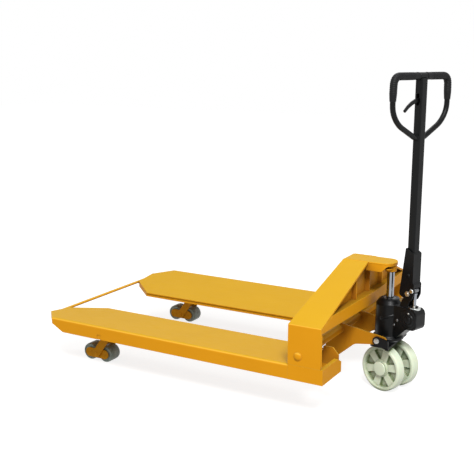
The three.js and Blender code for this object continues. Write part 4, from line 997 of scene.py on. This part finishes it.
def carriage():
    s = {
        "centre": 207, "front": 165, "rear": 246, "wingFront": 236, "half": 89, "earInner": 104, "earOuter": 112,
        "low": 183, "high": 192, "ear": (200, 215), "earRadius": 16, "earTop": 221, "bolt": 8.5,
    }
    edge = [(s["front"], s["half"]), (s["wingFront"], s["half"]), (s["wingFront"], s["earOuter"]), (s["rear"], s["earOuter"])]
    plan = edge + [(x, -y) for x, y in edge[::-1]]
    plan = roundCorners(plan, [10, 5, 0, 5, 5, 0, 5, 10], 5)
    base = prism("z", plan, s["low"], s["high"], [circlePoints((s["centre"], 0), 20.6, 48)])
    makePiece("saddle_plate", base, "black", "carriage", ["carriage_saddle"], bevel=1.0)
    face = [(s["rear"], s["low"]), (s["rear"], s["earTop"]), *arcPoints(s["ear"], s["earRadius"], math.pi / 2, 1.5 * math.pi, 24)]
    face = roundCorners(face, [9, 8] + [0] * (len(face) - 2), 5)
    ear = prism("y", face, -s["earOuter"], -s["earInner"], [circlePoints(s["ear"], s["bolt"] + 0.3, 32)])
    makePair("saddle_ear", ear, "black", "carriage", bevel=1.0)
    seam = weldShape((s["wingFront"] - 4, -s["earInner"] + 1, s["high"] + 1), (s["rear"] - 2, -s["earInner"] + 1, s["high"] + 1), 2.4)
    makePair("saddle_weld", seam, "black", "carriage")
    outer = s["earOuter"]
    head = prism("y", roundCorners(circlePoints(s["ear"], 9.2, 6), 1.2, 3), -outer - 7, -outer - 1.6)
    makePair("ear_bolt_head", head, "zinc", "carriage", ("yoke_bolt",), bevel=0.8)
    shank = barShape("y", s["ear"], s["bolt"], -outer - 3, -89)
    washer = ringShape("y", 8.2, 10.4, -outer - 1.8, -outer - 0.1, s["ear"])
    makePair("ear_bolt", joinShapes(shank, washer), "zinc", "carriage")
    races = [(24, 192.3), (43, 192.3), (44, 193.2), (44, 195.2), (41, 195.7), (41, 196.3), (44, 196.8), (44, 198.8),
             (43, 199.6), (24, 199.6)]
    makePiece("thrust_bearing", lathe("z", races, (s["centre"], 0), 64, ring=True), "steel", "carriage", ["thrust_ring"])


ramAndGland()
carriage()
print("carriage made")

# Pump unit, drawn in its own axes: x forward to the operator from the steering axis


def inUnit(name, shape, finish, body="steering_unit", replaced=(), **more):
    return makePiece(name, shape, finish, body, replaced, spot=unitSpot, **more)


def pumpCasting():
    # one sand casting: remeshed so that its bosses flow together, then bored
    s = {"grain": 1.7, "smooth": 5, "ramBore": 14.5, "boreBottom": 141.7}
    body = [
        (0, 86), (17, 86), (20, 90), (20, 206), (24, 200.2), (58, 200.2), (60, 202), (60, 209), (57, 213),
        (53.5, 216), (52, 222), (52, 338), (50.5, 343), (41, 356), (37, 360), (33, 361.4), (0, 361.4),
    ]
    blockSide = [(30, 219), (60, 219), (104, 262), (148, 262), (148, 345), (30, 345)]
    blockSide = roundCorners(blockSide, [0, 6, 20, 24, 22, 0], 8)
    streak = [(math.cos(a) * 51, math.sin(a) * 51, 288 + 15 * (a + 1.6)) for a in [-1.6 + 0.1 * i for i in range(12)]]
    shapes = [
        lathe("z", body, steps=64),
        lathe("y", [(0, -23), (19, -23), (20, -21), (20, 21), (19, 23), (0, 23)], (16, 90)),
        prism("y", blockSide, -29, 29),
        lathe("y", [(0, -32.5), (33, -32.5), (36, -30), (36, 8), (0, 8)], (111, 303)),
        lathe("y", [(0, -38), (20, -38), (23, -35.5), (23, 8), (0, 8)], (116, 303)),
        tubeShape(streak, 4.5, 12),
        lathe("z", [(0, 330), (16, 330), (15, 346), (14.4, 353), (0, 353)], (117, 0)),
        prism("y", strapPoints((101, 401), 13, (74, 330), 20, 20), -17.8, -12.3),
        prism("y", strapPoints((101, 401), 13, (74, 330), 20, 20), 12.3, 17.8),
        prism("y", boxPoints(57, 67, 330, 372), -4, 4),
        lathe("y", [(0, -12), (9, -12), (11, -9), (11, 36), (9, 38), (0, 38)], (70, 318)),
    ]
    piece = bpy.data.objects.new("pump_casting", meshFrom("pump_casting", joinShapes(*shapes), unitSpot))
    scene.collection.objects.link(piece)
    melt = piece.modifiers.new("castSkin", "REMESH")
    melt.mode = "VOXEL"
    melt.voxel_size = s["grain"] * milli
    ease = piece.modifiers.new("castFillets", "SMOOTH")
    ease.factor = 0.5
    ease.iterations = s["smooth"]
    settle(piece)
    bores = [
        lathe("z", [(0, s["boreBottom"]), (s["ramBore"], s["boreBottom"]), (s["ramBore"], 357), (24.2, 357), (24.2, 370), (0, 370)]),
        lathe("z", [(0, 300), (7.5, 300), (7.5, 360), (0, 360)], (117, 0), 32),
        lathe("y", [(0, -40), (6.3, -40), (6.3, 40), (0, 40)], (101, 401), 32),
        lathe("y", [(0, -40), (10.3, -40), (10.3, 40), (0, 40)], (16, 90), 32),
    ]
    carve(piece, bores, unitSpot)
    piece.data.materials.clear()
    piece.data.materials.append(finishes["casting"][0])
    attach(piece, "steering_unit")
    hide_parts("pump_body")


def pumpFittings():
    # small screws and plugs that show on the black casting: bright, dull and painted over
    def screw(x, z, radius, face, out=3):
        profile = [(0, face - out), (radius - 1, face - out), (radius, face - out + 1), (radius, face + 5), (0, face + 5)]
        return lathe("y", profile, (x, z), 6 if radius > 6 else 28)

    bright = [screw(115, 327, 4.5, -32), screw(124, 352, 4, -13, 1.5)]
    inUnit("bright_screws", joinShapes(*bright), "zinc")
    dull = [screw(62, 289, 5, -29), screw(48, 268, 4.5, -29)]
    inUnit("dull_screws", joinShapes(*dull), "steel")
    dome = [(0, -43), (5, -42.6), (9, -41.4), (12.5, -39.4), (15, -36.6), (15.6, -34), (0, -34)]
    painted = [lathe("y", dome, (116, 303), 36)]
    for angle in (200, 252, 290):
        at = math.radians(angle)
        place = (28.6 * math.cos(at), 28.6 * math.sin(at))
        painted.append(lathe("z", [(0, 350), (3.6, 350), (3.6, 362.6), (2.8, 363.6), (0, 363.6)], place, 6))
    inUnit("painted_plugs", joinShapes(*painted), "black")
    seal = [(14.5, 340), (24, 340), (24, 346.4), (23, 347.6), (18, 348.2), (14.5, 347.4)]
    inUnit("plunger_seal_ring", lathe("z", seal, (117, 0), 48, ring=True), "zinc")


def plungerAndPins():
    plunger = [(0, 329.7), (7, 329.7), (7, 396), (9, 396.6), (9, 402.6), (7, 403.7), (0, 403.7)]
    inUnit("plunger_rod", lathe("z", plunger, (117, 0), 40), "chrome", "plunger", ["pump_plunger"])
    hexes = [prism("y", roundCorners(circlePoints((101, 401), 11, 6), 1, 3), a, b) for a, b in ((-28.8, -23.8), (23.8, 28.8))]
    inUnit("pivot_pin_heads", joinShapes(*hexes), "zinc", replaced=["handle_pin"], bevel=0.7)
    inUnit("pivot_pin", barShape("y", (101, 401), 6, -30.2, 30.2), "zinc")
    axle = [(0, -68.8), (14, -68.8), (16, -67.6), (16, -64.8), (10, -64.8), (10, 64.8), (16, 64.8), (16, 67.6), (14, 68.8), (0, 68.8)]
    inUnit("wheel_axle_bar", lathe("y", axle, (16, 90)), "zinc", replaced=["wheel_axle"])


def loweringLever():
    eye = ringShape("y", 4, 8.5, -8.5, -4.5, (62, 367))
    curve = [(62 + 32 * t, -6.5, 367 + 9 * math.sin(math.pi * min(1, t * 1.1)) - 8 * t * t) for t in [0.2 + 0.8 * i / 14 for i in range(15)]]
    rod = tubeShape(curve, [2.3 - 0.5 * i / 14 for i in range(15)], 16)
    pin = barShape("y", (62, 367), 3.5, -10, 0)
    inUnit("lowering_lever", joinShapes(eye, rod), "zinc", "valve_lever", ["valve_lever"])
    inUnit("lowering_lever_pin", pin, "zinc")


def steeredWheels():
    # cast nylon wheels: a dished face inside the rim, with six pockets between spokes that widen outward
    s = {
        "radius": 90, "half": 20, "centre": 44, "trail": 16, "height": 90, "hub": 21.2, "dish": 8, "dishFrom": 30,
        "dishTo": 78, "pocketInner": 34, "pocketOuter": 75, "pocketDepth": 10, "widen": 0.43, "pointAt": 22,
        "corner": 4, "draft": 3, "count": 6, "steps": 240, "turn": -13,
    }

    def relief(r, angle):
        period = 2 * math.pi / s["count"]
        turn = ((angle + math.radians(s["turn"])) % period) - period / 2
        middle = (s["pocketInner"] + s["pocketOuter"]) / 2
        overR = abs(r - middle) - (s["pocketOuter"] - s["pocketInner"]) / 2 + s["corner"]
        overT = abs(turn) * r - s["widen"] * (r - s["pointAt"]) + s["corner"]
        outside = math.hypot(max(overR, 0), max(overT, 0)) + min(max(overR, overT), 0) - s["corner"]
        share = min(1, max(0, -outside / s["draft"]))
        pocket = s["pocketDepth"] * share * share * (3 - 2 * share)
        rim = min(1, max(0, (s["dishTo"] - r) / 3), max(0, (r - s["dishFrom"]) / 2.5))
        return s["dish"] * max(0, rim) + pocket

    radii = [s["hub"], 26, 29] + [30 + 1.1 * i for i in range(45)] + [82]
    half = s["half"]
    tread = [
        (85.5, -half), (88.2, -half + 1.6), (89.5, -half + 4.4), (89.95, -half + 9), (90, 0),
        (89.95, half - 9), (89.5, half - 4.4), (88.2, half - 1.6), (85.5, half),
    ]
    rings = []
    for i in range(s["steps"]):
        angle = 2 * math.pi * i / s["steps"]
        cos, sin = math.cos(angle), math.sin(angle)
        profile = [(r, -half + relief(r, angle)) for r in radii] + tread
        profile += [(r, half - 0.8 * relief(r, angle)) for r in radii[::-1]]
        rings.append([(s["trail"] + r * cos, h - s["centre"], s["height"] + r * sin) for r, h in profile])
    wheel = skin(rings, closedRun=True)
    makePair("steered_wheel", wheel, "nylon", "steered_wheel_", ("steer_wheel",), spot=unitSpot)
    middle = (s["trail"], s["height"])
    bearing = [(10.5, -13), (21, -13), (21, 13), (10.5, 13)]
    races = lathe("y", [(r, h - s["centre"]) for r, h in bearing], middle, ring=True)
    makePair("wheel_races", races, "steel", "steered_wheel_", ("wheel_bearing",), spot=unitSpot)
    face = -half - s["centre"]
    cap = [(28, face + 1), (28, face - 2.5), (26.2, face - 4.6), (20, face - 5.8), (0, face - 6.4), (0, face - 5.2),
           (19.5, face - 4.6), (25.2, face - 3.4), (26.6, face - 2), (26.6, face + 1)]
    makePair("hub_cap", lathe("y", cap, middle, 64), "nylon", "steered_wheel_", spot=unitSpot)


pumpCasting()
pumpFittings()
plungerAndPins()
loweringLever()
steeredWheels()
print("pump unit made")

# Handle

handle = {
    "stem": (84.5, 115.5, 18), "stemBottom": 426, "stemTop": 1195.7, "loopX": 100, "loopRadius": 10, "leverZ": 1122,
}


def handleSocket():
    side = [(83, 578), (120.8, 556), (120.8, 445), (126.5, 440), (126.5, 398), (114, 372), (98, 374), (60, 391)]
    side = roundCorners(side, [5, 4, 4, 4, 12, 9, 12, 10], 6)
    block = prism("y", side, -23.3, 23.3)
    inside = prism("y", boxPoints(40, 115.8, 360, 600), -18.3, 18.3)
    mouth = prism("y", boxPoints(110, 140, 360, 425), -18.3, 18.3)
    cuts = [joinShapes(inside), joinShapes(mouth)]
    inUnit("stem_socket", block, "black", "handle", ["handle_socket"], bevel=1.6, cuts=cuts)
    # rounded bolt heads, the cam's left bright and the stem's painted over
    for name, x, z, radius, finish in (("cam_bolt_heads", 117, 413, 9, "zinc"), ("stem_bolt_heads", 100, 470, 8, "black")):
        heads = []
        for out in (-1, 1):
            profile = [(0, 27.3), (radius - 2.4, 27.1), (radius - 0.6, 25.6), (radius, 23.5), (0, 23.5)]
            heads.append(lathe("y", [(r, out * h) for r, h in profile], (x, z), 32))
        inUnit(name, joinShapes(*heads), finish, "handle")
    inUnit("cam_axle", barShape("y", (117, 413), 5, -23, 23), "zinc", "handle", ["cam_bolt"])
    inUnit("stem_cross_bolt", barShape("y", (100, 470), 5, -23, 23), "zinc", "handle", ["stem_bolt"])
    cam = lathe("y", [(5.5, -11), (8.2, -11), (9, -10.2), (9, 10.2), (8.2, 11), (5.5, 11)], (117, 413), 40, ring=True)
    inUnit("cam_wheel", cam, "steel", "handle", ["cam_roller"])


def stemTube():
    rear, front, half = handle["stem"]
    plan = roundCorners(boxPoints(rear, front, -half, half), 6, 6)
    bore = roundCorners(boxPoints(rear + 3, front - 3, -half + 3, half - 3), 3, 4)
    tube = prism("z", plan, handle["stemBottom"], handle["stemTop"] + 2, [bore])
    z = handle["leverZ"]
    slot = prism("y", strapPoints((100, z + 16), 6, (100, z - 16.1), 5.9, 10), -half - 4, -half + 6)
    inUnit("stem_tube", tube, "black", "handle", ["handle_stem"], bevel=0.5, cuts=[slot])


def loopPath(steps=10):
    # centre line of the loop, from the left of the stem over the top to the right
    left = [(18, 985), (28.3, 986), (126, 1035), (160, 1080), (161, 1140), (158, 1205)]
    corners = [Vector((handle["loopX"], -y, z)) for y, z in left]
    corners += [Vector((handle["loopX"], y, z)) for y, z in left[::-1]]
    path = [corners[0]]
    for i in range(1, len(corners) - 1):
        here = corners[i]
        into, out = corners[i - 1] - here, corners[i + 1] - here
        reach = min(46, 0.48 * into.length, 0.48 * out.length)
        entry, leave = here + into.normalized() * reach, here + out.normalized() * reach
        for k in range(steps + 1):
            t = k / steps
            path.append(entry * (1 - t) ** 2 + here * 2 * t * (1 - t) + leave * t ** 2)
    path.append(corners[-1])
    return path


def evenPath(path, start, end, count):
    # points at equal steps between two shares of the path's length
    runs = [0]
    for a, b in zip(path, path[1:]):
        runs.append(runs[-1] + (b - a).length)
    made = []
    for i in range(count + 1):
        want = runs[-1] * (start + (end - start) * i / count)
        k = max(1, next((j for j, run in enumerate(runs) if run >= want), len(runs) - 1))
        share = (want - runs[k - 1]) / max(runs[k] - runs[k - 1], 1e-6)
        made.append(path[k - 1].lerp(path[k], share))
    return made


def loopAndGrips():
    # the loop is seamed to the stem's sides below and runs through a short sleeve on its top
    path = loopPath()
    tube = tubeShape(evenPath(path, 0, 1, 170), handle["loopRadius"], 24)
    seams = [weldRing("y", (handle["loopX"], 985), 10, side * 19, 2.6) for side in (-1, 1)]
    profile = [(9.4, -21.6), (12.4, -21.6), (13.4, -20.6), (13.4, 20.6), (12.4, 21.6), (9.4, 21.6)]
    sleeve = lathe("y", profile, (handle["loopX"], 1205), 32, ring=True)
    inUnit("loop_tube", joinShapes(tube, *seams, sleeve), "black", "handle", ["handle_loop"])
    start, end, count, pitch = 0.238, 0.473, 170, 6
    centre = evenPath(path, start, end, count)
    length = sum((b - a).length for a, b in zip(centre, centre[1:]))
    sizes = []
    for i in range(count + 1):
        along = length * i / count
        fromEnd = min(along, length - along)
        rib = 0.5 * math.cos(2 * math.pi * along / pitch) if fromEnd > 27 else 0
        size = 13.6 + rib
        if along < 26:
            size = 11.6 + 2 * along / 26
        if length - along < 5:
            size = 14.3 if length - along > 1.2 else 13.4
        sizes.append(size)
    grip = tubeShape(centre, sizes, 28)
    makePair("soft_grip", grip, "rubber", "handle", ("handle_grip",), spot=unitSpot)


def controlLever():
    # pressed lever on the left of the stem, tapering to a rounded tip
    z = handle["leverZ"]
    line = [(9, z + 1), (0, z), (-14, z - 1.5), (-32, z - 5), (-52, z - 12), (-73, z - 24), (-94, z - 41)]
    widths = [5, 9, 8.4, 7.6, 6.8, 5.8, 4.6]
    smooth = []
    for i in range(len(line) - 1):
        for k in range(6):
            t = k / 6
            smooth.append((
                line[i][0] + (line[i + 1][0] - line[i][0]) * t, line[i][1] + (line[i + 1][1] - line[i][1]) * t,
                widths[i] + (widths[i + 1] - widths[i]) * t,
            ))
    smooth.append((*line[-1], widths[-1]))
    upper, lower = [], []
    for i, (y, high, half) in enumerate(smooth):
        a, b = smooth[max(i - 1, 0)], smooth[min(i + 1, len(smooth) - 1)]
        aim = Vector((b[0] - a[0], b[1] - a[1])).normalized()
        upper.append((y - aim.y * half, high + aim.x * half))
        lower.append((y + aim.y * half, high - aim.x * half))
    outline = roundCorners(upper + lower[::-1], 0, 1)
    blade = prism("x", outline, 96, 104)
    inUnit("lever_blade", blade, "black", "control_lever", ["control_lever"], bevel=2.2)
    rod = joinShapes(
        barShape("z", (91.5, 9), 3, 440, 1109.5), barShape("x", (9, 1109.5), 3, 88.5, 103),
    )
    inUnit("pull_rod", rod, "zinc", "release_rod", ["release_rod"])


handleSocket()
stemTube()
loopAndGrips()
controlLever()
print("handle made")

# Floor, background and lamps

studio = {
    "floor": "#A9A9A8", "floorSize": 14, "ownLight": 0.82, "ambient": 0.45,
    "lamps": (
        ("keySoftbox", (3.4, -5.2, 7.0), (0, 0, 0.25), 2.8, 720),
        ("farOverhead", (-1.0, 2.6, 5.0), (-0.4, 0.2, 0.2), 2.0, 40),
    ),
}


def seenRays(tree):
    # 1 for what the camera sees, straight or through a reflection
    rays = addNode(tree, "ShaderNodeLightPath")
    both = addNode(tree, "ShaderNodeMath", {"operation": "MAXIMUM"},
                   {0: rays.outputs["Is Camera Ray"], 1: rays.outputs["Is Glossy Ray"]})
    return addNode(tree, "ShaderNodeMath", {"operation": "MAXIMUM"},
                   {0: both.outputs[0], 1: rays.outputs["Is Transmission Ray"]}).outputs[0]


def makeStudio():
    world = bpy.data.worlds.new("whiteRoom")
    world.use_nodes = True
    tree = world.node_tree
    tree.nodes.clear()
    strength = addNode(tree, "ShaderNodeMapRange", {"To Min": studio["ambient"], "To Max": 1.0}, {"Value": seenRays(tree)})
    air = addNode(tree, "ShaderNodeBackground", {"Color": (1, 1, 1, 1)}, {"Strength": strength.outputs["Result"]})
    addNode(tree, "ShaderNodeOutputWorld", links={"Surface": air.outputs[0]})
    scene.world = world

    material = bpy.data.materials.new("mattPaintedFloor")
    material.use_nodes = True
    tree = material.node_tree
    tree.nodes.clear()
    paint = addNode(tree, "ShaderNodeBsdfDiffuse", {"Color": linear(studio["floor"])})
    glow = addNode(tree, "ShaderNodeMath", {"operation": "MULTIPLY", 1: studio["ownLight"]}, {0: seenRays(tree)})
    own = addNode(tree, "ShaderNodeEmission", {"Color": (1, 1, 1, 1)}, {"Strength": glow.outputs[0]})
    both = addNode(tree, "ShaderNodeAddShader", links={0: paint.outputs[0], 1: own.outputs[0]})
    addNode(tree, "ShaderNodeOutputMaterial", links={"Surface": both.outputs[0]})
    half = studio["floorSize"]
    mesh = bpy.data.meshes.new("floor")
    mesh.from_pydata([(-half, -half, 0), (half, -half, 0), (half, half, 0), (-half, half, 0)], [], [(0, 1, 2, 3)])
    mesh.materials.append(material)
    floor = bpy.data.objects.new("floor", mesh)
    floor.location.z = -0.0005
    scene.collection.objects.link(floor)

    for name, place, target, size, power in studio["lamps"]:
        data = bpy.data.lights.new(name, "AREA")
        data.shape = "DISK"
        data.size = size
        data.energy = power
        lamp = bpy.data.objects.new(name, data)
        aim = Vector(target) - Vector(place)
        lamp.matrix_world = Matrix.Translation(place) @ aim.to_track_quat("-Z", "Y").to_matrix().to_4x4()
        scene.collection.objects.link(lamp)


makeStudio()
scene.view_settings.view_transform = "Standard"
print("studio made")
